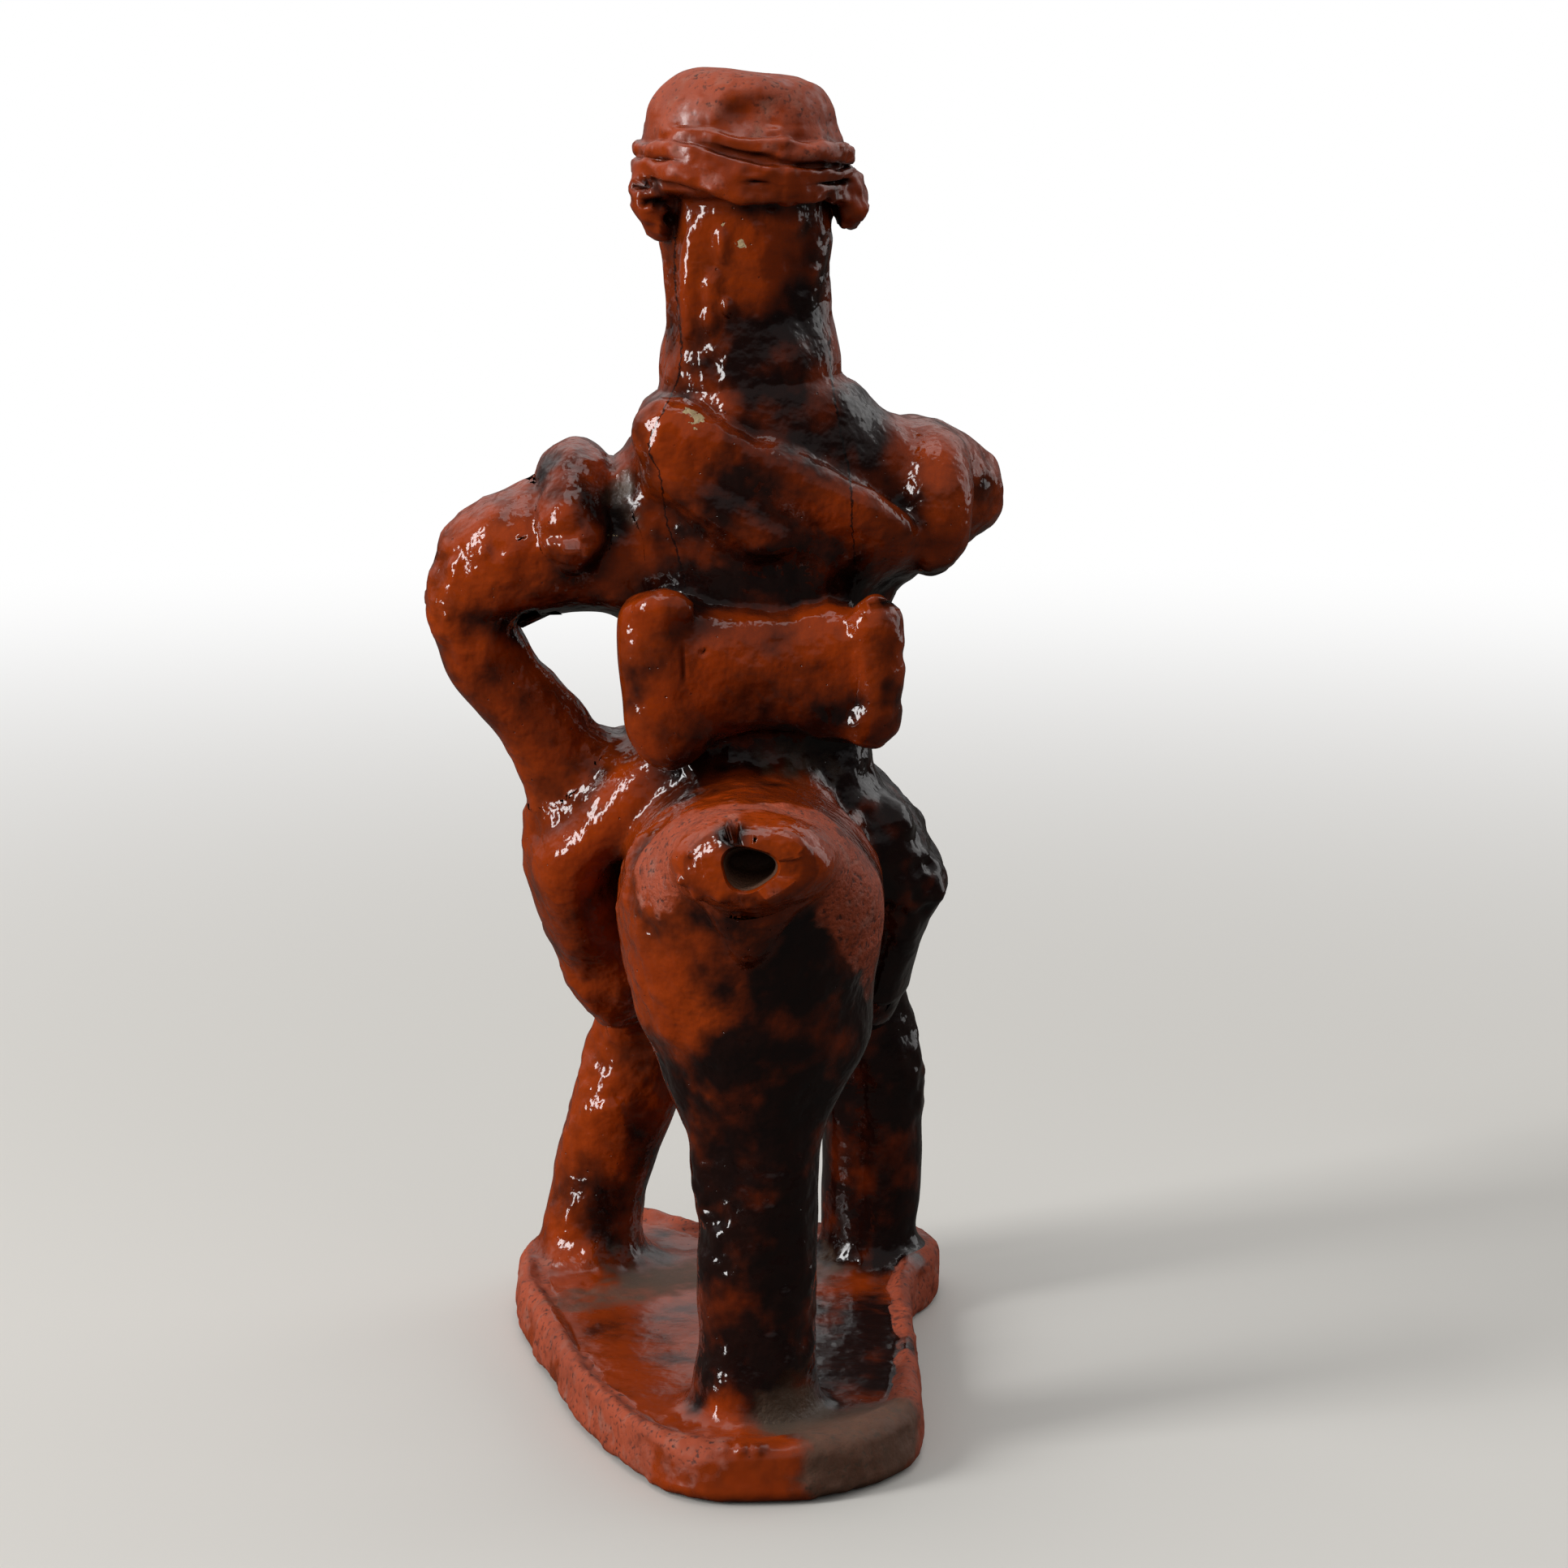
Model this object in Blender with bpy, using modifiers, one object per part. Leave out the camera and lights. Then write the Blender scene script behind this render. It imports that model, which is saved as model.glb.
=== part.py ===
"""Horse and rider whistle, a hand-built figure of glazed red earthenware.

Lumps, coils and slabs of clay are shaped one by one, scored and luted together with slip.
The hollow horse is the whistle: breath goes in at the tail, and the chamber sounds.
The origin is on the underside of the base slab, the horse faces +Y, and +Z is up.
Every length is in metres.
"""

import math

import bmesh
import bpy
from mathutils import Matrix, Vector

NAME = "horse_and_rider_whistle"

# Luting: the slip line between two clay pieces, and how far a blank runs into its neighbour
LUTE_GAP = 0.0003
LUTE_DEPTH = 0.004

# Base slab
BASE_LENGTH = 0.106
BASE_WIDTH = 0.063
BASE_THICKNESS = 0.0075
BASE_EDGE_RADIUS = 0.0022
BASE_CENTRE_X = -0.0035
BASE_CENTRE_Y = 0.004

# Horse: legs
LEG_LENGTH = 0.040
HIND_LEG_RADIUS = 0.0079
HIND_LEG_CUP = 1.75
HIND_LEG_X = 0.0006
HIND_LEG_INSET = 0.014
FORELEG_RADIUS = 0.0069
FORELEG_INSET = 0.010
FORELEG_TOP_X = 0.0105
LEFT_HOOF_X = -0.0238
RIGHT_HOOF_X = 0.0168
RIGHT_FORELEG_BOW = 0.0034
HOOF_FLARE = 0.0016

# Horse: hollow barrel
BODY_LENGTH = 0.088
BODY_WIDTH = 0.0346
BODY_HEIGHT = 0.0405
BODY_CROWN = 0.0145
CHAMBER_WALL = 0.0055
CHAMBER_LENGTH = 0.054

# Whistle mouthpiece at the tail
MOUTHPIECE_LENGTH = 0.011
MOUTHPIECE_WIDTH = 0.0195
MOUTHPIECE_HEIGHT = 0.0112
MOUTHPIECE_X = 0.0015
MOUTHPIECE_RISE = 0.0035
WINDWAY_WIDTH = 0.0062
WINDWAY_MOUTH = 0.0048
WINDWAY_EXIT = 0.0018
WINDWAY_LENGTH = 0.0075
THROAT_RADIUS = 0.0034
WINDOW_LENGTH = 0.0044

# Horse: neck, head, ears and mane
NECK_HEIGHT = 0.040
NECK_WIDTH = 0.0165
NECK_DEPTH = 0.0230
NECK_INSET = 0.013
MUZZLE_REACH = 0.030
MUZZLE_DROP = 0.023
HORSE_HEAD_WIDTH = 0.0150
HORSE_HEAD_DEPTH = 0.0165
EAR_LENGTH = 0.0105
EAR_RADIUS = 0.0027
EAR_SPREAD = 0.0042
MANE_RADIUS = 0.0028

# Rider: coat, legs and boots
TORSO_HEIGHT = 0.047
SHOULDER_WIDTH = 0.0405
WAIST_WIDTH = 0.0320
TORSO_DEPTH = 0.0265
TORSO_LEAN = 0.0012
SEAT_Y = 0.002
LEFT_SKIRT_THICKNESS = 0.0150
RIGHT_SKIRT_THICKNESS = 0.0144
SKIRT_DEPTH = 0.026
LEFT_SKIRT_LENGTH = 0.0225
RIGHT_SKIRT_LENGTH = 0.0320
LEG_WIDTH = 0.0100
LEG_DEPTH = 0.0125
BOOT_LENGTH = 0.012
BOOT_HEIGHT = 0.0042

# Rider: head
HEAD_HEIGHT = 0.0265
RIDER_HEAD_WIDTH = 0.0222
RIDER_HEAD_DEPTH = 0.0235
NOSE_LENGTH = 0.0075
NOSE_WIDTH = 0.0042

# Rider: cap with its wound bands, and the lappets at its rim
CAP_WIDTH = 0.0268
CAP_HEIGHT = 0.0185
CAP_LEAN = 0.0022
CAP_X = -0.0013
BAND_COUNT = 3
BAND_RADIUS = 0.0019
BAND_TILT = math.radians(8)
LAPPET_WIDTH = 0.0056
LAPPET_HEIGHT = 0.0080
LAPPET_DEPTH = 0.0090

# Rider: arms and epaulettes
ARM_DROP = 0.0170
UPPER_ARM_RADIUS = 0.0080
ELBOW_RADIUS = 0.0076
FOREARM_RADIUS = 0.0063
LEFT_ELBOW_REACH = 0.0162
LEFT_ELBOW_DROP = 0.0070
LEFT_HAND_OUT = 0.0068
RIGHT_ARM_LIFT = 0.0070
RIGHT_ELBOW_REACH = 0.0062
RIGHT_ELBOW_AHEAD = 0.0165
RIGHT_ARM_BOW = 0.0020
LEFT_EPAULETTE_RADIUS = 0.0048
RIGHT_EPAULETTE_RADIUS = 0.0056
EPAULETTE_ARCH = 0.0077
EPAULETTE_AHEAD = 0.0035

# Rider: rolled blanket across the back, and the knapsack
BLANKET_WIDTH = 0.0110
BLANKET_THICKNESS = 0.0066
KNAPSACK_X = 0.0022
KNAPSACK_WIDTH = 0.0230
KNAPSACK_HEIGHT = 0.0175
KNAPSACK_THICKNESS = 0.0085
KNAPSACK_DROP = 0.0255
LEFT_ROLL_RADIUS = 0.0048
LEFT_ROLL_LENGTH = 0.0235
LEFT_ROLL_LEAN = 0.0035
RIGHT_ROLL_RADIUS = 0.0038
RIGHT_ROLL_LENGTH = 0.0200
RIGHT_ROLL_LEAN = -0.0006

# Heights that follow from the stack of pieces
BASE_TOP = BASE_THICKNESS
BELLY = BASE_TOP + LEG_LENGTH
BACK = BELLY + BODY_HEIGHT
SHOULDER = BACK + TORSO_HEIGHT
CAP_RIM = SHOULDER + HEAD_HEIGHT
WIDEST = BACK - BODY_CROWN
ARM_LINE = SHOULDER - ARM_DROP
POLL = BACK + NECK_HEIGHT
COAT_BACK = SEAT_Y - TORSO_DEPTH / 2 * 0.95

# Places along the barrel that follow from its length
HIND_LEG_Y = HIND_LEG_INSET - BODY_LENGTH / 2
FORELEG_Y = BODY_LENGTH / 2 - FORELEG_INSET
NECK_Y = BODY_LENGTH / 2 - NECK_INSET

# Facets: sides round a section, and rings along a piece
SIDES = 16
RINGS = 12

# Fired finishes: base colour and roughness
ORANGE_GLAZE = ((0.36, 0.075, 0.018), 0.25)
BROWN_GLAZE = ((0.16, 0.030, 0.010), 0.18)
DARK_GLAZE = ((0.020, 0.010, 0.009), 0.15)
DULL_CLAY = ((0.33, 0.085, 0.035), 0.55)

X_AXIS = Vector((1.0, 0.0, 0.0))

blanks = []


def clear_scene():
    for old in list(bpy.data.objects):
        bpy.data.objects.remove(old, do_unlink=True)


def new_collection(name):
    collection = bpy.data.collections.new(name)
    bpy.context.scene.collection.children.link(collection)
    return collection


def fired(name, finish):
    colour, roughness = finish
    material = bpy.data.materials.new(name)
    material.use_nodes = True
    shader = material.node_tree.nodes["Principled BSDF"]
    shader.inputs["Base Color"].default_value = (*colour, 1.0)
    shader.inputs["Roughness"].default_value = roughness
    shader.inputs["Metallic"].default_value = 0.0
    return material


def mesh_object(name, bm, collection):
    """An object that takes over a bmesh, with its faces pointing out."""
    bmesh.ops.recalc_face_normals(bm, faces=bm.faces)
    mesh = bpy.data.meshes.new(name)
    bm.to_mesh(mesh)
    bm.free()
    piece = bpy.data.objects.new(name, mesh)
    collection.objects.link(piece)
    return piece


def baked(source, name, collection):
    """A mesh object of what a curve or a modified object evaluates to; the source is removed."""
    graph = bpy.context.evaluated_depsgraph_get()
    mesh = bpy.data.meshes.new_from_object(source.evaluated_get(graph))
    mesh.transform(source.matrix_world)
    bpy.data.objects.remove(source, do_unlink=True)
    bm = bmesh.new()
    bm.from_mesh(mesh)
    bpy.data.meshes.remove(mesh)
    bmesh.ops.remove_doubles(bm, verts=bm.verts, dist=1e-6)
    return mesh_object(name, bm, collection)


def between(start, end, share):
    return tuple(a + (b - a) * share for a, b in zip(start, end))


def smooth(keys, count, cyclic=False):
    """Rows read from a Catmull-Rom curve through the keys, which are tuples of numbers."""
    last = len(keys) - 1
    spans = len(keys) if cyclic else last

    def key(i):
        return keys[i % len(keys)] if cyclic else keys[min(max(i, 0), last)]

    rows = []
    for step in range(count):
        place = step * spans / (count if cyclic else count - 1)
        i = min(int(place), spans - 1)
        t = place - i
        weights = (
            (-t + 2 * t**2 - t**3) / 2,
            (2 - 5 * t**2 + 3 * t**3) / 2,
            (t + 4 * t**2 - 3 * t**3) / 2,
            (t**3 - t**2) / 2,
        )
        near = [key(i + offset) for offset in (-1, 0, 1, 2)]
        rows.append(tuple(sum(w * k for w, k in zip(weights, column)) for column in zip(*near)))
    return rows


def loft(name, keys, across, collection, rings=RINGS, sides=SIDES, cyclic=False):
    """A skin over oval sections along a path.

    Each key is (x, y, z, half width, half height on the up side, half height on the down side).
    The width runs along the across direction, and up is at right angles to it and to the path.
    """
    rows = smooth(keys, rings, cyclic)
    centres = [Vector(row[:3]) for row in rows]
    bm = bmesh.new()
    loops = []
    for i, (centre, row) in enumerate(zip(centres, rows)):
        if cyclic:
            ahead, behind = centres[(i + 1) % rings], centres[i - 1]
        else:
            ahead, behind = centres[min(i + 1, rings - 1)], centres[max(i - 1, 0)]
        along = (ahead - behind).normalized()
        side = (across - along * across.dot(along)).normalized()
        up = side.cross(along)
        loop = []
        for k in range(sides):
            angle = 2 * math.pi * k / sides
            lift = math.sin(angle) * (row[4] if math.sin(angle) > 0 else row[5])
            loop.append(bm.verts.new(centre + side * row[3] * math.cos(angle) + up * lift))
        loops.append(loop)
    pairs = list(zip(loops, loops[1:]))
    if cyclic:
        pairs.append((loops[-1], loops[0]))
    else:
        bm.faces.new(loops[0])
        bm.faces.new(loops[-1])
    for first, second in pairs:
        for k in range(sides):
            n = (k + 1) % sides
            bm.faces.new((first[k], first[n], second[n], second[k]))
    return mesh_object(name, bm, collection)


def coil(name, keys, collection, rings=RINGS, facets=4):
    """A rolled coil of clay: a bevelled curve through (x, y, z, radius) keys."""
    rows = smooth(keys, rings)
    curve = bpy.data.curves.new(name, "CURVE")
    curve.dimensions = "3D"
    curve.bevel_depth = 1.0
    curve.bevel_resolution = facets
    curve.use_fill_caps = True
    spline = curve.splines.new("POLY")
    spline.points.add(len(rows) - 1)
    for point, row in zip(spline.points, rows):
        point.co = (*row[:3], 1.0)
        point.radius = row[3]
    source = bpy.data.objects.new(name + "_path", curve)
    collection.objects.link(source)
    bpy.context.view_layer.update()
    return baked(source, name, collection)


def slab(name, outline, thickness, edge, collection):
    """A rolled slab: a flat outline, extruded, with its edges thumbed round."""
    curve = bpy.data.curves.new(name, "CURVE")
    curve.dimensions = "2D"
    curve.fill_mode = "BOTH"
    curve.extrude = thickness / 2 - edge
    curve.bevel_depth = edge
    curve.bevel_resolution = 1
    curve.offset = -edge
    spline = curve.splines.new("POLY")
    spline.points.add(len(outline) - 1)
    for point, (x, y) in zip(spline.points, outline):
        point.co = (x, y, 0.0, 1.0)
    spline.use_cyclic_u = True
    source = bpy.data.objects.new(name + "_outline", curve)
    collection.objects.link(source)
    bpy.context.view_layer.update()
    return baked(source, name, collection)


def turned(name, profile, collection, sides=SIDES):
    """A profile of (radius, height) pairs, top to bottom, spun about the Z axis."""
    mesh = bpy.data.meshes.new(name)
    points = [(radius, 0.0, height) for radius, height in profile]
    mesh.from_pydata(points, [(i, i + 1) for i in range(len(points) - 1)], [])
    source = bpy.data.objects.new(name + "_profile", mesh)
    collection.objects.link(source)
    spin = source.modifiers.new("Spin", "SCREW")
    spin.steps = sides
    spin.render_steps = sides
    spin.use_merge_vertices = True
    spin.merge_threshold = 1e-6
    bpy.context.view_layer.update()
    return baked(source, name, collection)


def ball(name, centre, size, collection, segments=12):
    """A pellet of clay with the given size along X, Y and Z."""
    bm = bmesh.new()
    bmesh.ops.create_uvsphere(bm, u_segments=segments, v_segments=segments * 2 // 3, radius=0.5)
    bmesh.ops.transform(bm, matrix=Matrix.LocRotScale(centre, None, size), verts=bm.verts)
    return mesh_object(name, bm, collection)


def rod(name, start, end, radius, collection, sides=12):
    """A straight round cutter from start to end."""
    axis = Vector(end) - Vector(start)
    middle = (Vector(start) + Vector(end)) / 2
    turn = axis.to_track_quat("Z", "Y").to_matrix().to_4x4()
    bm = bmesh.new()
    bmesh.ops.create_cone(
        bm, cap_ends=True, segments=sides, radius1=radius, radius2=radius, depth=axis.length,
        matrix=Matrix.Translation(middle) @ turn,
    )
    return mesh_object(name, bm, collection)


def block(name, centre, size, collection):
    """A box cutter."""
    bm = bmesh.new()
    bmesh.ops.create_cube(bm, size=1.0)
    bmesh.ops.transform(bm, matrix=Matrix.LocRotScale(centre, None, size), verts=bm.verts)
    return mesh_object(name, bm, collection)


def as_cutter(piece):
    piece.hide_render = True
    piece.display_type = "WIRE"
    return piece


def combine(piece, other, operation):
    """Applies one Boolean between two meshes."""
    modifier = piece.modifiers.new(operation.title(), "BOOLEAN")
    modifier.operation = operation
    modifier.object = other
    bpy.context.view_layer.update()
    graph = bpy.context.evaluated_depsgraph_get()
    mesh = bpy.data.meshes.new_from_object(piece.evaluated_get(graph))
    piece.modifiers.clear()
    piece.data = mesh


def wipe_crumbs(piece):
    """Keeps the largest connected lump, as a maker wipes off the crumbs of a trimmed joint."""
    bm = bmesh.new()
    bm.from_mesh(piece.data)
    bmesh.ops.remove_doubles(bm, verts=bm.verts, dist=1e-6)
    left = set(bm.verts)
    lumps = []
    while left:
        lump, edge = set(), [left.pop()]
        while edge:
            vert = edge.pop()
            lump.add(vert)
            near = {e.other_vert(vert) for e in vert.link_edges} & left
            left -= near
            edge.extend(near)
        lumps.append(lump)
    largest = max(lumps, key=len)
    bmesh.ops.delete(bm, geom=[v for v in bm.verts if v not in largest], context="VERTS")
    bm.to_mesh(piece.data)
    bm.free()


def remember(piece, cutters):
    """Keeps the untrimmed blank, swollen by the luting gap, to trim the pieces luted onto it."""
    bm = bmesh.new()
    bm.from_mesh(piece.data)
    bm.normal_update()
    moves = [(vert, vert.normal * LUTE_GAP) for vert in bm.verts]
    for vert, move in moves:
        vert.co += move
    return as_cutter(mesh_object(piece.name + "_blank", bm, cutters))


def span(piece, axis):
    places = [vert.co[axis] for vert in piece.data.vertices]
    return min(places), max(places)


def boxes_meet(first, second):
    for axis in range(3):
        low, high = span(first, axis)
        other_low, other_high = span(second, axis)
        if low > other_high or other_low > high:
            return False
    return True


def lute(piece):
    """Trims the piece to sit against all that stands already, with the slip line between them."""
    for blank in blanks:
        if boxes_meet(piece, blank):
            combine(piece, blank, "DIFFERENCE")
    wipe_crumbs(piece)


def finish(piece, finish_kind, parent):
    """Gives a piece its fired finish, puts its origin at its middle and hangs it on the root."""
    corners = [Vector(corner) for corner in piece.bound_box]
    middle = sum(corners, Vector()) / len(corners)
    piece.data.transform(Matrix.Translation(-middle))
    piece.location = middle
    piece.parent = parent
    piece.data.materials.clear()
    piece.data.materials.append(fired(piece.name, finish_kind))
    piece.data.shade_smooth()
    piece.data.set_sharp_from_angle(angle=math.radians(50))


def base_slab(parts):
    """The plinth: wide under the forelegs, drawn in to a rounded tail end, dented at the front."""
    corners = [
        (0.24, -1.00), (-0.20, -0.95), (-0.58, -0.55), (-0.86, 0.00), (-1.00, 0.42), (-0.92, 0.75),
        (-0.52, 1.00), (-0.16, 0.88), (0.30, 0.86), (0.72, 0.92), (0.98, 0.76), (0.98, 0.58),
        (0.86, 0.36), (0.85, 0.00), (0.85, -0.42), (0.80, -0.74), (0.56, -0.92),
    ]
    outline = [
        (BASE_CENTRE_X + x * BASE_WIDTH / 2, BASE_CENTRE_Y + y * BASE_LENGTH / 2)
        for x, y in smooth(corners, 2 * len(corners), cyclic=True)
    ]
    piece = slab("base_slab", outline, BASE_THICKNESS, BASE_EDGE_RADIUS, parts)
    piece.data.transform(Matrix.Translation((0.0, 0.0, BASE_THICKNESS / 2)))
    return piece


def barrel_keys(wall=0.0, start=-1.0, end=1.0):
    """Loft keys of the horse's barrel, or of its hollow when a wall is taken off inside.

    Each row is a place along the half length, then shares of the width, crown and belly.
    """
    rows = [
        (-1.00, 0.30, 0.34, 0.28), (-0.93, 0.64, 0.66, 0.56), (-0.80, 0.89, 0.92, 0.82),
        (-0.60, 1.00, 1.00, 1.00), (-0.20, 0.95, 0.94, 0.90), (0.20, 0.93, 0.91, 0.87),
        (0.60, 1.00, 0.93, 1.00), (0.82, 0.87, 0.80, 0.82), (0.94, 0.60, 0.55, 0.55),
        (1.00, 0.28, 0.25, 0.25),
    ]
    belly_depth = BODY_HEIGHT - BODY_CROWN
    keys = []
    for place, width, crown, belly in rows:
        if start <= place <= end:
            keys.append((
                0.0, place * BODY_LENGTH / 2, WIDEST,
                width * BODY_WIDTH / 2 - wall, crown * BODY_CROWN - wall, belly * belly_depth - wall,
            ))
    return keys


def horse_body(parts):
    return loft("horse_body", barrel_keys(), X_AXIS, parts, rings=20, sides=20)


def mouthpiece_axis():
    """The tail stub's two ends: buried in the rump, and the face that is blown."""
    rump = -BODY_LENGTH / 2
    middle = BACK - MOUTHPIECE_HEIGHT / 2
    root = Vector((MOUTHPIECE_X, rump + 2 * LUTE_DEPTH, middle - MOUTHPIECE_RISE))
    face = Vector((MOUTHPIECE_X, rump - MOUTHPIECE_LENGTH, middle + MOUTHPIECE_RISE / 2))
    return root, face


def whistle_mouthpiece(parts):
    root, face = mouthpiece_axis()
    wide, high = MOUTHPIECE_WIDTH / 2, MOUTHPIECE_HEIGHT / 2
    keys = []
    for share, scale in ((0.0, 1.15), (0.45, 1.02), (0.75, 0.98), (0.94, 0.93), (1.0, 0.74)):
        keys.append((*root.lerp(face, share), wide * scale, high * scale, high * scale))
    return loft("whistle_mouthpiece", keys, X_AXIS, parts, rings=11)


def cut_whistle(body, mouthpiece, cutters):
    """Hollows the barrel and opens the windway, the throat and the sounding window."""
    root, face = mouthpiece_axis()
    half = BODY_LENGTH / 2
    rear = -half + CHAMBER_WALL * 1.6
    hollow_keys = barrel_keys(CHAMBER_WALL, rear / half, (rear + CHAMBER_LENGTH) / half)
    hollow = loft("chamber_hollow", hollow_keys, X_AXIS, cutters, rings=14, sides=14)

    face.x = 0.0
    root.x = 0.0
    inward = (root - face).normalized()
    jet = face + inward * WINDWAY_LENGTH
    windway_keys = []
    for place, share in ((-0.3, -0.3), (0.0, 0.0), (0.5, 0.5), (1.1, 1.0)):
        height = WINDWAY_MOUTH + (WINDWAY_EXIT - WINDWAY_MOUTH) * share
        windway_keys.append((*face.lerp(jet, place), WINDWAY_WIDTH / 2, height / 2, height / 2))
    windway = loft("windway", windway_keys, X_AXIS, cutters, rings=7, sides=12)

    inner = Vector((0.0, rear + 2 * CHAMBER_WALL, WIDEST + BODY_CROWN / 4))
    throat = rod("throat", jet, inner, THROAT_RADIUS, cutters)
    opening = jet + Vector((0.0, WINDOW_LENGTH / 2, -MOUTHPIECE_HEIGHT / 2))
    window_size = (WINDWAY_WIDTH, WINDOW_LENGTH, MOUTHPIECE_HEIGHT)
    window = block("window", opening, window_size, cutters)

    for cutter in (hollow, windway, throat, window):
        as_cutter(cutter)
    combine(body, hollow, "DIFFERENCE")
    combine(body, throat, "DIFFERENCE")
    for cutter in (windway, throat, window):
        combine(mouthpiece, cutter, "DIFFERENCE")
    wipe_crumbs(mouthpiece)


def leg_keys(top, hoof, radius, spread, bow=0.0):
    """A pillar of clay, flared where it is luted to the slab and to the horse."""
    shares = (
        (0.0, radius + HOOF_FLARE), (0.16, radius + HOOF_FLARE * 0.25), (0.45, radius),
        (0.72, radius * 1.10), (0.86, radius * (1.10 + 0.35 * (spread - 1.10))), (1.0, radius * spread),
    )
    keys = []
    for share, girth in shares:
        x, y, z = between(hoof, top, share)
        keys.append((x + bow * math.sin(math.pi * share), y, z, girth))
    return keys


def hind_leg(parts):
    """Both hind legs pressed into one pillar, opening into a cup that holds the rump."""
    top = (HIND_LEG_X, HIND_LEG_Y + LUTE_DEPTH, BELLY + 2 * LUTE_DEPTH)
    hoof = (HIND_LEG_X, HIND_LEG_Y, BASE_TOP - LUTE_DEPTH)
    return coil("hind_leg", leg_keys(top, hoof, HIND_LEG_RADIUS, HIND_LEG_CUP), parts)


def foreleg(name, top_x, hoof_x, bow, parts):
    top = (top_x, FORELEG_Y - LUTE_DEPTH / 2, BELLY + 3 * LUTE_DEPTH)
    hoof = (hoof_x, FORELEG_Y, BASE_TOP - LUTE_DEPTH)
    return coil(name, leg_keys(top, hoof, FORELEG_RADIUS, 1.15, bow), parts)


def neck_point(share):
    """A place on the neck's centre line, from inside the withers up to the poll."""
    low = BACK - BODY_CROWN
    return Vector((0.0, NECK_Y + NECK_DEPTH * (0.64 * share - 0.18), low + share * (POLL - low)))


def horse_neck(parts):
    wide, deep = NECK_WIDTH / 2, NECK_DEPTH / 2
    shares = (
        (0.0, 1.42, 1.30, 1.10), (0.36, 1.16, 1.08, 1.0), (0.70, 0.98, 0.86, 0.82), (1.0, 0.90, 0.66, 0.66),
    )
    keys = [(*neck_point(t), wide * w, deep * back, deep * front) for t, w, back, front in shares]
    return loft("horse_neck", keys, X_AXIS, parts)


def horse_head(parts):
    """A wedge of clay: round cheeks behind, drawn down to a blunt muzzle."""
    poll = neck_point(1.0)
    muzzle = poll + Vector((0.0, MUZZLE_REACH, -MUZZLE_DROP))
    wide, deep = HORSE_HEAD_WIDTH / 2, HORSE_HEAD_DEPTH / 2
    shares = (
        (-0.20, 0.55, 0.45, 0.55), (-0.10, 0.86, 0.78, 0.80), (0.12, 1.00, 0.95, 1.00),
        (0.36, 0.98, 0.86, 1.05), (0.62, 0.76, 0.70, 0.74), (0.85, 0.76, 0.66, 0.72),
        (0.98, 0.66, 0.56, 0.62), (1.04, 0.40, 0.34, 0.38),
    )
    keys = [(*poll.lerp(muzzle, t), wide * w, deep * up, deep * down) for t, w, up, down in shares]
    return loft("horse_head", keys, X_AXIS, parts, rings=14)


def horse_ear(name, side, parts):
    root = neck_point(1.0) + Vector((side * EAR_SPREAD, 0.0, HORSE_HEAD_DEPTH * 0.22))
    tip = root + Vector((side * EAR_LENGTH * 0.22, -EAR_LENGTH * 0.10, EAR_LENGTH))
    shares = (
        (0.0, 1.05, 0.85, 0.85), (0.45, 1.0, 0.75, 0.55), (0.80, 0.62, 0.48, 0.35), (1.0, 0.18, 0.16, 0.16),
    )
    keys = [
        (*root.lerp(tip, t), EAR_RADIUS * w, EAR_RADIUS * back, EAR_RADIUS * front)
        for t, w, back, front in shares
    ]
    return loft(name, keys, X_AXIS, parts, rings=7, sides=10)


def mane(parts):
    """A coil pressed along the crest of the neck, over the poll and on to the forehead."""
    deep = NECK_DEPTH / 2
    poll = neck_point(1.0)
    crest = [
        neck_point(0.40) - Vector((0.0, deep * 1.06, 0.0)),
        neck_point(0.70) - Vector((0.0, deep * 0.88, 0.0)),
        neck_point(0.95) - Vector((0.0, deep * 0.66, 0.0)),
        poll + Vector((0.0, 0.0, HORSE_HEAD_DEPTH * 0.46)),
        poll + Vector((0.0, HORSE_HEAD_DEPTH * 0.58, HORSE_HEAD_DEPTH * 0.18)),
    ]
    keys = [(*point, MANE_RADIUS * r) for point, r in zip(crest, (0.75, 1.0, 1.0, 0.95, 0.60))]
    return coil("mane", keys, parts, facets=2)


def rider_torso(parts):
    """The coat from the seat to the collar."""
    wide, deep, waist = SHOULDER_WIDTH / 2, TORSO_DEPTH / 2, WAIST_WIDTH / 2
    rows = [
        (0.10, 0.4, waist, 0.90), (0.36, 0.8, (waist + wide) * 0.47, 0.95), (0.62, 1.0, wide * 0.94, 1.02),
        (0.82, 1.0, wide * 0.98, 0.98), (0.95, 0.7, wide * 0.80, 0.84), (1.03, 0.2, wide * 0.58, 0.72),
        (1.07, 0.0, wide * 0.40, 0.60),
    ]
    keys = [(TORSO_LEAN * 0.4, SEAT_Y, BACK - LUTE_DEPTH, waist * 1.04, deep * 0.95, deep)]
    for share, lean, half, depth in rows:
        place = (TORSO_LEAN * lean, SEAT_Y, BACK + share * TORSO_HEIGHT)
        keys.append((*place, half, deep * depth, deep * depth))
    return loft("rider_torso", keys, X_AXIS, parts, rings=16, sides=20)


def coat_skirt(name, side, thickness, length, drape, parts):
    """A flap of the coat, draped from the waist over the horse's flank.

    Each row of the drape is shares of the flank, the length, the thickness and the depth.
    """
    flank, half, deep = BODY_WIDTH / 2, thickness / 2, SKIRT_DEPTH / 2
    keys = []
    for out, drop, thick, depth in drape:
        ahead = SEAT_Y + deep * (0.1 + 0.5 * max(drop, 0.0))
        place = (side * out * flank, ahead, BACK - drop * length)
        keys.append((*place, thick * half, depth * deep, depth * deep))
    return loft(name, keys, X_AXIS, parts, rings=9)


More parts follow.
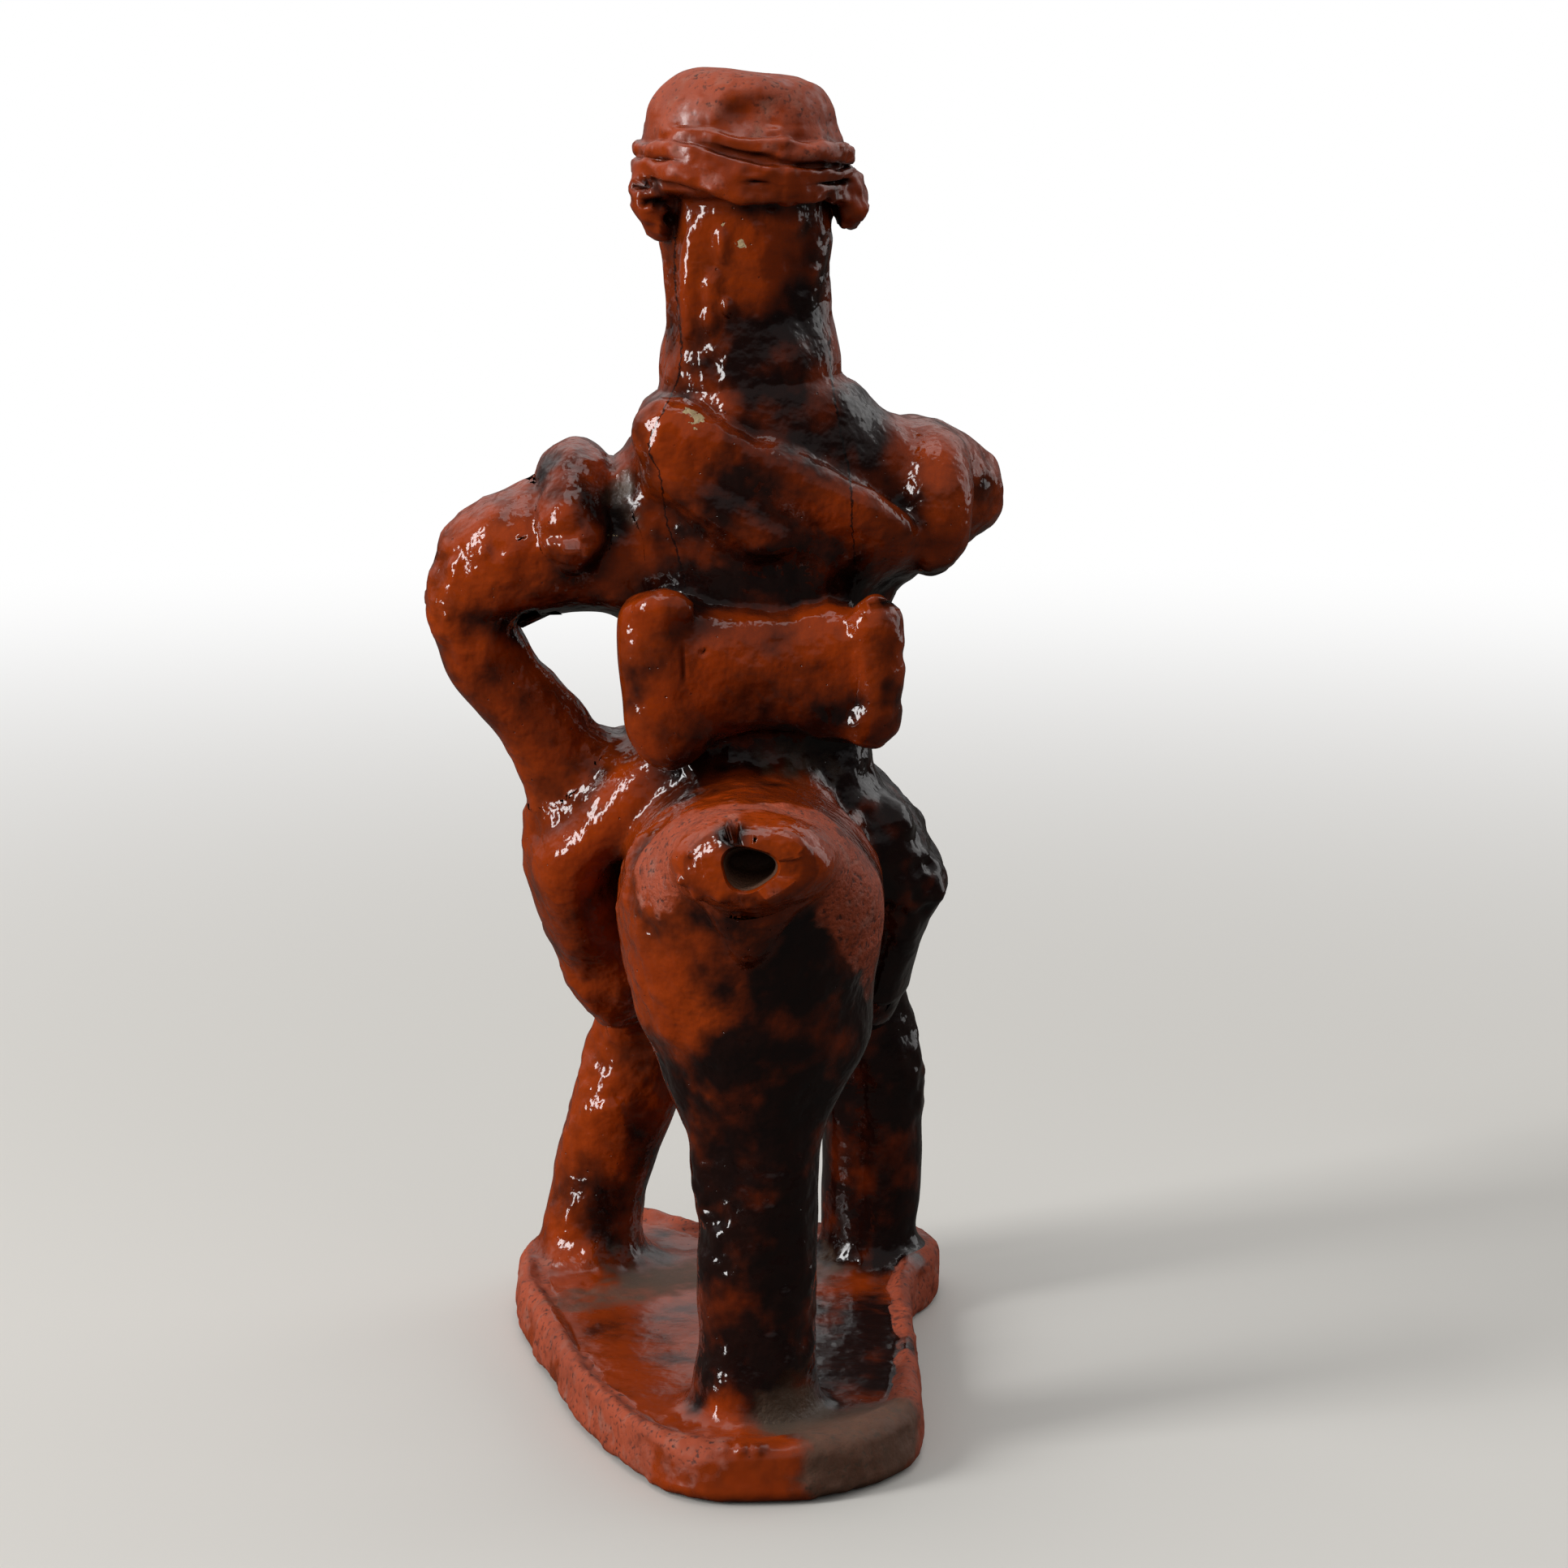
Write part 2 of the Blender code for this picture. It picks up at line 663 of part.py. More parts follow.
def rider_leg(name, side, hem_drop, knee_out, ankle_out, parts):
    """The lower leg and boot below the coat, toe forward against the foreleg."""
    flank, half, deep = BODY_WIDTH / 2, LEG_WIDTH / 2, LEG_DEPTH / 2
    knee = (side * flank * knee_out, SEAT_Y + deep, BACK - hem_drop + LUTE_DEPTH)
    ankle = (side * flank * ankle_out, SEAT_Y + deep * 1.85, BELLY + BOOT_HEIGHT)
    shin = between(knee, ankle, 0.55)
    toe = (ankle[0], ankle[1] + BOOT_LENGTH, BELLY)
    keys = [
        (*knee, half * 1.06, deep, deep), (*shin, half, deep * 0.96, deep * 0.96),
        (*ankle, half * 0.96, deep * 0.86, deep * 0.86), (*toe, half * 0.74, deep * 0.56, deep * 0.56),
    ]
    return loft(name, keys, X_AXIS, parts, rings=11, sides=12)


def rider_head(parts):
    """Neck and head in one column, with the face pushed forward and a nose pinched out."""
    wide, deep = RIDER_HEAD_WIDTH / 2, RIDER_HEAD_DEPTH / 2
    rows = [
        (0.16, 1.00, 0.90, 0.80), (0.34, 0.99, 0.91, 0.96), (0.55, 1.00, 0.93, 1.06),
        (0.80, 1.01, 0.96, 1.04), (1.00, 0.99, 0.96, 0.98),
    ]
    keys = [(0.0, SEAT_Y, SHOULDER - LUTE_DEPTH, wide * 1.10, deep * 0.92, deep * 0.86)]
    for share, width, back, front in rows:
        place = (CAP_X * share / 2, SEAT_Y, SHOULDER + share * HEAD_HEIGHT)
        keys.append((*place, wide * width, deep * back, deep * front))
    keys.append((CAP_X, SEAT_Y, CAP_RIM + CAP_HEIGHT * 0.40, wide * 0.86, deep * 0.84, deep * 0.84))
    head = loft("rider_head", keys, X_AXIS, parts, rings=15, sides=18)
    place = Vector((CAP_X / 4, SEAT_Y + deep, SHOULDER + 0.64 * HEAD_HEIGHT))
    nose = ball("nose", place, (NOSE_WIDTH, NOSE_WIDTH * 1.5, NOSE_LENGTH), parts, segments=10)
    combine(head, nose, "UNION")
    bpy.data.objects.remove(nose, do_unlink=True)
    return head


def cap_crown(parts):
    """The blocked crown, leaning to the left, with its top beaten flat."""
    shares = (
        (0.0, 1.00), (0.50, 0.985), (0.71, 0.94), (0.85, 0.82), (0.95, 0.63),
        (1.0, 0.36), (0.97, 0.08), (0.90, 0.0), (0.0, 0.0),
    )
    profile = [(radius * CAP_WIDTH / 2, height * CAP_HEIGHT) for radius, height in shares]
    crown = turned("cap_crown", profile, parts, sides=20)
    lean = Matrix.Shear("XY", 4, (-CAP_LEAN / CAP_HEIGHT, 0.0))
    crown.data.transform(Matrix.Translation((CAP_X, SEAT_Y, CAP_RIM)) @ lean)
    return crown


def cap_band(index, parts):
    """One turn of the band wound round the crown, dipping to the right."""
    height = BAND_RADIUS * (1.25 + 1.75 * index)
    lean = -CAP_LEAN * height / CAP_HEIGHT
    bpy.ops.mesh.primitive_torus_add(
        location=(CAP_X + lean, SEAT_Y, CAP_RIM + height),
        rotation=(0.0, BAND_TILT, 0.0),
        major_segments=24, minor_segments=8,
        major_radius=CAP_WIDTH / 2 - BAND_RADIUS * 0.25, minor_radius=BAND_RADIUS,
    )
    ring = bpy.context.object
    for collection in list(ring.users_collection):
        collection.objects.unlink(ring)
    parts.objects.link(ring)
    bpy.context.view_layer.update()
    return baked(ring, f"cap_band_{index + 1}", parts)


def cap_lappet(name, side, parts):
    """A pinch of clay hanging from the rim beside the head."""
    out = CAP_X + side * (CAP_WIDTH / 2 - LAPPET_WIDTH * 0.12)
    place = Vector((out, SEAT_Y + LAPPET_DEPTH * 0.1, CAP_RIM - BAND_RADIUS * 0.3))
    return ball(name, place, (LAPPET_WIDTH, LAPPET_DEPTH, LAPPET_HEIGHT), parts)


def left_arm(parts):
    """Arm akimbo: out to the elbow and back to the hip."""
    start = (-(SHOULDER_WIDTH / 2 - LUTE_DEPTH), SEAT_Y, ARM_LINE)
    elbow = (-(SHOULDER_WIDTH / 2 + LEFT_ELBOW_REACH), SEAT_Y - LUTE_DEPTH / 2, ARM_LINE - LEFT_ELBOW_DROP)
    hand = (-(BODY_WIDTH / 2 + LEFT_HAND_OUT), SEAT_Y + LUTE_DEPTH / 2, BACK - LUTE_DEPTH)
    keys = [
        (*start, UPPER_ARM_RADIUS), (*between(start, elbow, 0.55), UPPER_ARM_RADIUS),
        (*elbow, ELBOW_RADIUS), (*between(elbow, hand, 0.50), FOREARM_RADIUS), (*hand, FOREARM_RADIUS),
    ]
    return coil("left_arm", keys, parts, rings=19)


def right_arm(parts):
    """Arm reaching forward, bent at the elbow, the hand on the horse's mane."""
    height = ARM_LINE + RIGHT_ARM_LIFT
    start = (SHOULDER_WIDTH / 2 - LUTE_DEPTH, SEAT_Y, height)
    elbow = (SHOULDER_WIDTH / 2 + RIGHT_ELBOW_REACH, SEAT_Y + RIGHT_ELBOW_AHEAD, height - RIGHT_ARM_BOW)
    hand = (NECK_WIDTH / 2 + FOREARM_RADIUS * 0.35, neck_point(0.70).y, height)
    upper = Vector(between(start, elbow, 0.55)) + Vector((RIGHT_ARM_BOW / 2, 0.0, RIGHT_ARM_BOW / 2))
    lower = Vector(between(elbow, hand, 0.50)) + Vector((RIGHT_ARM_BOW, RIGHT_ARM_BOW, 0.0))
    keys = [
        (*start, UPPER_ARM_RADIUS), (*upper, UPPER_ARM_RADIUS * 0.94), (*elbow, ELBOW_RADIUS * 0.94),
        (*lower, FOREARM_RADIUS * 0.92), (*hand, FOREARM_RADIUS * 0.90),
    ]
    return coil("right_arm", keys, parts, rings=16)


def epaulette(name, side, radius, ahead, lift, parts):
    """A short coil arched over the shoulder seam, its ends pressed down behind and before."""
    centre = Vector((side * (SHOULDER_WIDTH / 2 + radius * 0.65), SEAT_Y + ahead, ARM_LINE + lift))
    keys = []
    rows = ((-10, 0.60), (8, 0.95), (45, 1.0), (90, 1.0), (135, 1.0), (172, 0.95), (190, 0.60))
    for degrees, scale in rows:
        angle = math.radians(degrees)
        point = centre + EPAULETTE_ARCH * Vector((0.0, math.cos(angle), math.sin(angle)))
        keys.append((*point, radius * scale))
    return coil(name, keys, parts, rings=15)


def blanket_roll(parts):
    """A rolled blanket worn over the left shoulder and under the right arm, a closed oval ring."""
    half = Vector((SHOULDER_WIDTH / 2, TORSO_DEPTH / 2, TORSO_HEIGHT))
    ring = [
        (-0.70, -0.86, 0.930), (-0.16, -1.10, 0.830), (0.46, -1.06, 0.680), (0.93, -0.55, 0.575),
        (1.02, 0.30, 0.550), (0.60, 1.02, 0.640), (0.00, 1.16, 0.790), (-0.56, 0.92, 0.940),
        (-0.80, 0.10, 1.005),
    ]
    wide, thick = BLANKET_WIDTH / 2, BLANKET_THICKNESS / 2
    keys = [(x * half.x, SEAT_Y + y * half.y, BACK + z * half.z, wide, thick, thick) for x, y, z in ring]
    shoulder, hip = Vector(keys[-1][:3]), Vector(keys[4][:3])
    fall = hip - shoulder
    square_to_ring = Vector((-fall.z, 0.0, fall.x)).normalized()
    return loft("blanket_roll", keys, square_to_ring, parts, rings=30, sides=12, cyclic=True)


def knapsack_panel(parts):
    """The flap of the knapsack: a slab with its top edge sagging between the rolls."""
    wide, high = KNAPSACK_WIDTH / 2, KNAPSACK_HEIGHT / 2
    corners = [
        (-1.0, 1.02), (-0.5, 0.86), (0.0, 0.80), (0.5, 0.88), (1.0, 1.08), (1.06, 0.0),
        (1.0, -1.0), (0.5, -1.02), (0.0, -1.0), (-0.5, -0.98), (-1.0, -1.0), (-1.06, 0.0),
    ]
    outline = [(x * wide, z * high) for x, z in corners]
    piece = slab("knapsack_panel", outline, KNAPSACK_THICKNESS, KNAPSACK_THICKNESS * 0.3, parts)
    place = Vector((KNAPSACK_X, COAT_BACK - KNAPSACK_THICKNESS * 0.08, SHOULDER - KNAPSACK_DROP - high))
    stand = Matrix.Rotation(math.radians(90), 4, "X")
    piece.data.transform(Matrix.Translation(place) @ stand)
    return piece


def knapsack_roll(name, x, radius, length, lean, parts):
    """A bolster down one side of the knapsack."""
    top = SHOULDER - KNAPSACK_DROP
    y = COAT_BACK - radius * 0.62
    rows = ((0.0, 0.62), (0.07, 0.94), (0.5, 1.0), (0.91, 1.02), (1.0, 0.62))
    keys = [(x + lean * (share - 0.5), y, top - share * length, radius * scale) for share, scale in rows]
    return coil(name, keys, parts, rings=11)


def build():
    clear_scene()
    parts = new_collection(NAME)
    cutters = new_collection("cutters")
    root = bpy.data.objects.new(NAME, None)
    parts.objects.link(root)
    made = []

    def add(piece, finish_kind):
        """Keeps the piece's blank, trims the piece to those already standing and notes its finish."""
        blank = remember(piece, cutters)
        lute(piece)
        blanks.append(blank)
        made.append((piece, finish_kind))
        return piece

    add(base_slab(parts), DULL_CLAY)
    body = add(horse_body(parts), ORANGE_GLAZE)
    mouthpiece = add(whistle_mouthpiece(parts), ORANGE_GLAZE)
    cut_whistle(body, mouthpiece, cutters)
    add(hind_leg(parts), BROWN_GLAZE)
    add(foreleg("left_foreleg", -FORELEG_TOP_X, LEFT_HOOF_X, 0.0, parts), ORANGE_GLAZE)
    add(foreleg("right_foreleg", FORELEG_TOP_X, RIGHT_HOOF_X, RIGHT_FORELEG_BOW, parts), DARK_GLAZE)
    add(horse_neck(parts), BROWN_GLAZE)
    add(horse_head(parts), ORANGE_GLAZE)
    add(mane(parts), DARK_GLAZE)
    add(horse_ear("horse_left_ear", -1, parts), ORANGE_GLAZE)
    add(horse_ear("horse_right_ear", 1, parts), ORANGE_GLAZE)

    add(rider_torso(parts), BROWN_GLAZE)
    left_drape = (
        (0.52, -0.08, 0.56, 0.70), (1.00, 0.18, 0.85, 0.92),
        (1.39, 0.55, 1.00, 1.00), (1.36, 1.00, 0.70, 0.80),
    )
    right_drape = (
        (0.52, -0.06, 0.56, 0.70), (0.74, 0.17, 0.74, 0.92),
        (1.12, 0.55, 1.00, 1.00), (0.99, 1.00, 0.58, 0.78),
    )
    add(
        coat_skirt("left_coat_skirt", -1, LEFT_SKIRT_THICKNESS, LEFT_SKIRT_LENGTH, left_drape, parts),
        ORANGE_GLAZE,
    )
    add(
        coat_skirt("right_coat_skirt", 1, RIGHT_SKIRT_THICKNESS, RIGHT_SKIRT_LENGTH, right_drape, parts),
        DARK_GLAZE,
    )
    add(rider_leg("left_leg", -1, LEFT_SKIRT_LENGTH, 1.32, 1.03, parts), ORANGE_GLAZE)
    add(rider_leg("right_leg", 1, RIGHT_SKIRT_LENGTH, 0.95, 0.90, parts), DARK_GLAZE)
    add(rider_head(parts), BROWN_GLAZE)
    add(cap_crown(parts), DULL_CLAY)
    for index in range(BAND_COUNT):
        add(cap_band(index, parts), DULL_CLAY)
    add(cap_lappet("cap_left_lappet", -1, parts), DULL_CLAY)
    add(cap_lappet("cap_right_lappet", 1, parts), DULL_CLAY)

    add(blanket_roll(parts), BROWN_GLAZE)
    add(knapsack_panel(parts), BROWN_GLAZE)
    left_x = KNAPSACK_X - KNAPSACK_WIDTH / 2 - LEFT_ROLL_RADIUS * 0.45
    right_x = KNAPSACK_X + KNAPSACK_WIDTH / 2 + RIGHT_ROLL_RADIUS * 0.55
    left_roll = (left_x, LEFT_ROLL_RADIUS, LEFT_ROLL_LENGTH, LEFT_ROLL_LEAN)
    right_roll = (right_x, RIGHT_ROLL_RADIUS, RIGHT_ROLL_LENGTH, RIGHT_ROLL_LEAN)
    add(knapsack_roll("knapsack_left_roll", *left_roll, parts), BROWN_GLAZE)
    add(knapsack_roll("knapsack_right_roll", *right_roll, parts), BROWN_GLAZE)
    add(left_arm(parts), ORANGE_GLAZE)
    add(right_arm(parts), ORANGE_GLAZE)
    add(epaulette("left_epaulette", -1, LEFT_EPAULETTE_RADIUS, 0.0, 0.0, parts), ORANGE_GLAZE)
    add(
        epaulette("right_epaulette", 1, RIGHT_EPAULETTE_RADIUS, EPAULETTE_AHEAD, RIGHT_ARM_LIFT / 4, parts),
        ORANGE_GLAZE,
    )
    for piece, finish_kind in made:
        finish(piece, finish_kind, root)


build()
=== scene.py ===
import bpy
import math
import numpy as np
from concurrent.futures import ThreadPoolExecutor
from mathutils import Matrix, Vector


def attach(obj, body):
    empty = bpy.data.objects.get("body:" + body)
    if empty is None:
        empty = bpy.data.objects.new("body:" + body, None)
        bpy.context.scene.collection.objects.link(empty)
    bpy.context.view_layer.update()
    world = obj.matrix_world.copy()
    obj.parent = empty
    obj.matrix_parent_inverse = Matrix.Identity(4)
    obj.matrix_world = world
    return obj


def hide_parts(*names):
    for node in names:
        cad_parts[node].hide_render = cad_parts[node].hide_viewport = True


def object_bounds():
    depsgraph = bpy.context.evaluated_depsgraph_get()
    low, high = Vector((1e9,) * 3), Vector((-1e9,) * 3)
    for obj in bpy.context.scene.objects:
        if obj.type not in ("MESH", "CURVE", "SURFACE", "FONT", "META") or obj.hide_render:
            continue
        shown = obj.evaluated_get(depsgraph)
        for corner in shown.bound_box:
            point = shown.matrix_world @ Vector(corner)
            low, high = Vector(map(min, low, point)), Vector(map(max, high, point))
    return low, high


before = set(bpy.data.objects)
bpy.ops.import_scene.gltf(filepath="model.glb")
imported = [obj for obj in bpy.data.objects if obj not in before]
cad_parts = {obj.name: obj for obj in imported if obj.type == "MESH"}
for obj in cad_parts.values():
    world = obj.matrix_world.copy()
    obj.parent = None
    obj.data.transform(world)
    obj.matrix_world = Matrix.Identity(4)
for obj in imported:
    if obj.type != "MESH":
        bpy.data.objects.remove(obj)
cadLow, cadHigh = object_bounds()
figureHeight = 180.0                          # mm
mm = (cadHigh.z - cadLow.z) / figureHeight    # metres to one millimetre of the figure
print("frame loaded, figure", round(cadHigh.z - cadLow.z, 4), "m tall")

xAxis = np.array([1.0, 0.0, 0.0])
yAxis = np.array([0.0, 1.0, 0.0])
zAxis = np.array([0.0, 0.0, 1.0])

clay = {
    "step": 0.45,         # mm between neighbouring points of a surface
    "samples": 60,        # of a path, for finding the distance to it
    "reach": 6.0,         # mm past a piece's box within which it counts
    "far": 30.0,          # mm, the distance to clay that is nowhere near
    "thumb": 11.0,        # mm across one thumb press
    "thumbDepth": 0.55,   # mm
    "finger": 4.2,        # mm across the small dents between them
    "fingerDepth": 0.40,
    "grit": 1.9,          # mm across the grains that stand under the glaze
    "gritDepth": 0.20,
    "patch": 15.0,        # mm across the rough and the smoothed patches
    "stroke": 3.6,        # mm across a stroke of the fingers, which is drawn out by the share below
    "strokeShort": 0.3,
    "tear": 2.6,          # mm across the crumbs of a torn edge
    "clear": 4.0,         # mm from a joint at which a piece's own lumps stand in full
    "tearClear": 1.5,     # the same for a torn edge
    "buried": 4.0,        # mm under a neighbour at which a surface is left as it is
    "missed": 0.7,        # mm off the skin at which a step is given up
    "moves": (-3, 3.6),   # mm in and out that a point may move to the skin
    "flow": 1.1,          # mm over which one glaze ran into the next
    "feel": 0.2,          # mm of the step that normals are found with
}

figure = []   # every piece in the order in which the maker luted it on


# Smooth lattice noise, -1 to 1: random values at the corners of cells, eased from corner to corner
def latticeNoise(points, size, seed=0):
    place = points / size + 31.7 * (seed + 1)
    cell = np.floor(place).astype(np.int64)
    ease = place - cell
    ease = ease ** 3 * (ease * (ease * 6 - 15) + 10)
    total = np.zeros(len(points))
    for corner in np.ndindex(2, 2, 2):
        # large odd numbers stir the cell's own three into one that looks random
        key = (cell + corner) @ np.array([374761393, 668265263, 1274126177]) + seed * 97
        key = (key ^ (key >> 13)) * 1103515245 & 0x7FFFFFFF
        key = (key ^ (key >> 15)) * 2246822519 & 0x7FFFFFFF
        share = np.prod(np.where(corner, ease, 1 - ease), axis=1)
        total += share * (key / 0x3FFFFFFF - 1)
    return total


# Catmull-Rom curve through the keys, read at equal steps of its length
def throughKeys(keys, count, closed=False):
    keys = np.array(keys, float)
    n = len(keys)
    spans = n if closed else n - 1
    place = np.linspace(0, spans, 40 * spans + 1)
    i = np.minimum(place.astype(int), spans - 1)
    t = (place - i)[:, None]
    pick = (lambda k: keys[k % n]) if closed else (lambda k: keys[np.clip(k, 0, n - 1)])
    a, b, c, d = pick(i - 1), pick(i), pick(i + 1), pick(i + 2)
    rows = b + 0.5 * t * (c - a + t * (2 * a - 5 * b + 4 * c - d + t * (3 * (b - c) + d - a)))
    length = np.concatenate([[0], np.cumsum(np.linalg.norm(np.diff(rows[:, :3], axis=0), axis=1))])
    want = np.linspace(0, length[-1], count + 1)[:-1] if closed else np.linspace(0, length[-1], count)
    return np.stack([np.interp(want, length, column) for column in rows.T], axis=1), length[-1]


# Directions along a path: its run, its side (kept near the given one) and up, square to both
def pathFrames(centres, side, closed=False, lean=0.0):
    if closed:
        run = np.roll(centres, -1, axis=0) - np.roll(centres, 1, axis=0)
    else:
        run = np.gradient(centres, axis=0)
    run /= np.linalg.norm(run, axis=1)[:, None]
    side = side - run * (run @ side)[:, None]
    side /= np.linalg.norm(side, axis=1)[:, None]
    up = np.cross(side, run)
    c, s = math.cos(math.radians(lean)), math.sin(math.radians(lean))
    return run, side * c + up * s, up * c - side * s


# A row of a path in full: a half width or half height that isn't given is the same as the one before it
def sixWide(key):
    return (*key, *key[-1:] * (6 - len(key)))


# Readies one piece of clay, an oval carried along a path: its rows of place, directions and half widths.
# power 2 is an oval, higher is boxier. seam is how far, in mm, slip is smeared over its joints.
def luteOn(piece):
    piece.setdefault("side", xAxis)
    piece.setdefault("power", 2.0)
    piece.setdefault("closed", False)
    piece.setdefault("lean", 0.0)   # degrees that the oval is rolled about its path
    piece.setdefault("ends", (0.5, 0.5))
    piece.setdefault("bumps", ())
    piece.setdefault("dents", ())
    piece["path"] = [sixWide(key) for key in piece["path"]]
    rows, length = throughKeys(piece["path"], clay["samples"], piece["closed"])
    run, across, up = pathFrames(rows[:, :3], piece["side"], piece["closed"], piece["lean"])
    piece["rows"] = np.hstack([rows[:, :3], run, across, up, rows[:, 3:]])
    piece["length"] = length
    piece["gap"] = length / (clay["samples"] if piece["closed"] else clay["samples"] - 1)
    reach = rows[:, 3:].max() + 1.0
    piece["low"] = rows[:, :3].min(axis=0) - reach
    piece["high"] = rows[:, :3].max(axis=0) + reach
    piece["distance"] = ovalDistance
    figure.append(piece)


# The rows of a path at places between its samples: the two beside each place, weighted by nearness
def rowsAt(piece, place):
    rows = piece["rows"]
    i = np.floor(place).astype(int)
    share = (place - i)[:, None]
    if piece["closed"]:
        return rows[i % len(rows)] * (1 - share) + rows[(i + 1) % len(rows)] * share
    i = np.clip(i, 0, len(rows) - 1)
    return rows[i] * (1 - share) + rows[np.minimum(i + 1, len(rows) - 1)] * share


# Distance to a carried oval: the nearest place on its path, then how far past the oval there,
# measured as the oval's own size number less one, over that number's slope
def ovalDistance(piece, points):
    centre = piece["rows"][:, :3]
    square = (points ** 2).sum(axis=1)[:, None] - 2 * points @ centre.T + (centre ** 2).sum(axis=1)
    place = square.argmin(axis=1).astype(float)
    last = len(centre) - 1
    for turn in range(3):
        here = rowsAt(piece, place)
        ahead = np.einsum("ij,ij->i", points - here[:, :3], here[:, 3:6])
        place = place + np.clip(ahead / piece["gap"], -1, 1)
        if not piece["closed"]:
            place = np.clip(place, 0, last)
    here = rowsAt(piece, place)
    away = points - here[:, :3]
    ahead = np.einsum("ij,ij->i", away, here[:, 3:6])
    s = np.einsum("ij,ij->i", away, here[:, 6:9])
    u = np.einsum("ij,ij->i", away, here[:, 9:12])
    wide = here[:, 12]
    tall = np.where(u > 0, here[:, 13], here[:, 14])
    power = piece["power"]
    a, b = np.abs(s) / wide, np.abs(u) / tall
    size = (a ** power + b ** power + 1e-9) ** (1 / power)
    slope = np.hypot(a ** (power - 1) / wide, b ** (power - 1) / tall) * size ** (1 - power)
    if not piece["closed"]:
        cap = here[:, 12:].min(axis=1) * np.where(place < 1, piece["ends"][0], piece["ends"][1])
        over = np.where(place <= 0, -ahead, np.where(place >= last, ahead, 0))
        over = np.maximum(over, 0) / cap
        whole = np.hypot(size, over)
        slope = np.hypot(slope * size, over / cap) / whole
        size = whole
    return (size - 1) / slope


# Distance to a pellet, an ellipsoid, found the same way
def pelletDistance(pellet, points):
    away = points - np.array(pellet[:3])
    size = np.array(pellet[3:6])
    number = np.linalg.norm(away / size, axis=1) + 1e-6
    return (number - 1) * number / (np.linalg.norm(away / size ** 2, axis=1) + 1e-9)


# Two clays smeared together: the lesser distance, rounded over where both are within the seam
def smear(first, second, seam):
    near = np.maximum(seam - np.abs(first - second), 0) / seam
    return np.minimum(first, second) - near ** 2 * seam / 4


# Distance to one piece with its pellets: bumps smeared on, dents cut out with a rounded edge
def ownDistance(piece, points):
    own = piece["distance"](piece, points)
    for pellet in piece["bumps"]:
        own = smear(own, pelletDistance(pellet, points), pellet[6])
    for pellet in piece["dents"]:
        own = -smear(-own, pelletDistance(pellet, points), pellet[6])
    return own


# The whole lump of clay as one field of distance: each piece smeared on in the order it was luted.
# Also how much nearer the other pieces are than this one, and the glaze values, shared out by nearness.
def clayAt(piece, points):
    own = ownDistance(piece, points)
    whole = np.full(len(points), clay["far"])
    cover = np.full(len(points), clay["far"])
    weight = np.zeros(len(points))
    tone = np.zeros((len(points), 2))
    for other in figure:
        if not boxesMeet(piece, other):
            continue
        near = (points > other["low"] - clay["reach"]) & (points < other["high"] + clay["reach"])
        near = near.all(axis=1)
        if not near.any():
            continue
        away = own[near] if other is piece else ownDistance(other, points[near])
        whole[near] = smear(whole[near], away, other["seam"])
        share = np.exp(-np.clip(away, -4, 12) / clay["flow"])
        weight[near] += share
        tone[near] += share[:, None] * (other.get("dark", 0.2), other.get("dry", 0.0))
        if other is not piece:
            cover[near] = np.minimum(cover[near], away)
    return whole, own - cover, tone / (weight + 1e-30)[:, None]


# Faces of rings of points: quads from ring to ring, numbered round each ring in turn. Unless the rings close
# on themselves, a fan covers each end, round one of two middle points that come last.
def ringFaces(rings, sides, closed=False):
    i = np.arange(rings if closed else rings - 1)[:, None]
    j = np.arange(sides)
    n, k = (i + 1) % rings, (j + 1) % sides
    quads = np.stack([i * sides + j, n * sides + j, n * sides + k, i * sides + k], -1)
    faces = quads.reshape(-1, 4).tolist()
    if not closed:
        first, end = rings * sides, (rings - 1) * sides
        faces += np.stack([j, k, np.full(sides, first)], -1).tolist()
        faces += np.stack([end + k, end + j, np.full(sides, first + 1)], -1).tolist()
    return faces


# Rings of an oval round a path: across by the cosine and up by the sine of a turn, made boxy by its power
def ringGrid(centre, across, up, half, power, sides, closed=False, swell=None):
    angle = np.linspace(0, 2 * np.pi, sides, endpoint=False)
    c, s = np.cos(angle), np.sin(angle)
    boxy = (np.abs(c) ** power + np.abs(s) ** power) ** (-1 / power)
    wide = half[:, :1] * (c * boxy)
    tall = np.where(s > 0, half[:, 1:2], half[:, 2:3]) * (s * boxy)
    if swell is not None:
        wide, tall = wide * swell(angle), tall * swell(angle)
    points = centre[:, None] + across[:, None] * wide[:, :, None] + up[:, None] * tall[:, :, None]
    points = points.reshape(-1, 3)
    if not closed:
        points = np.vstack([points, centre[0], centre[-1]])
    return points, ringFaces(len(centre), sides, closed)


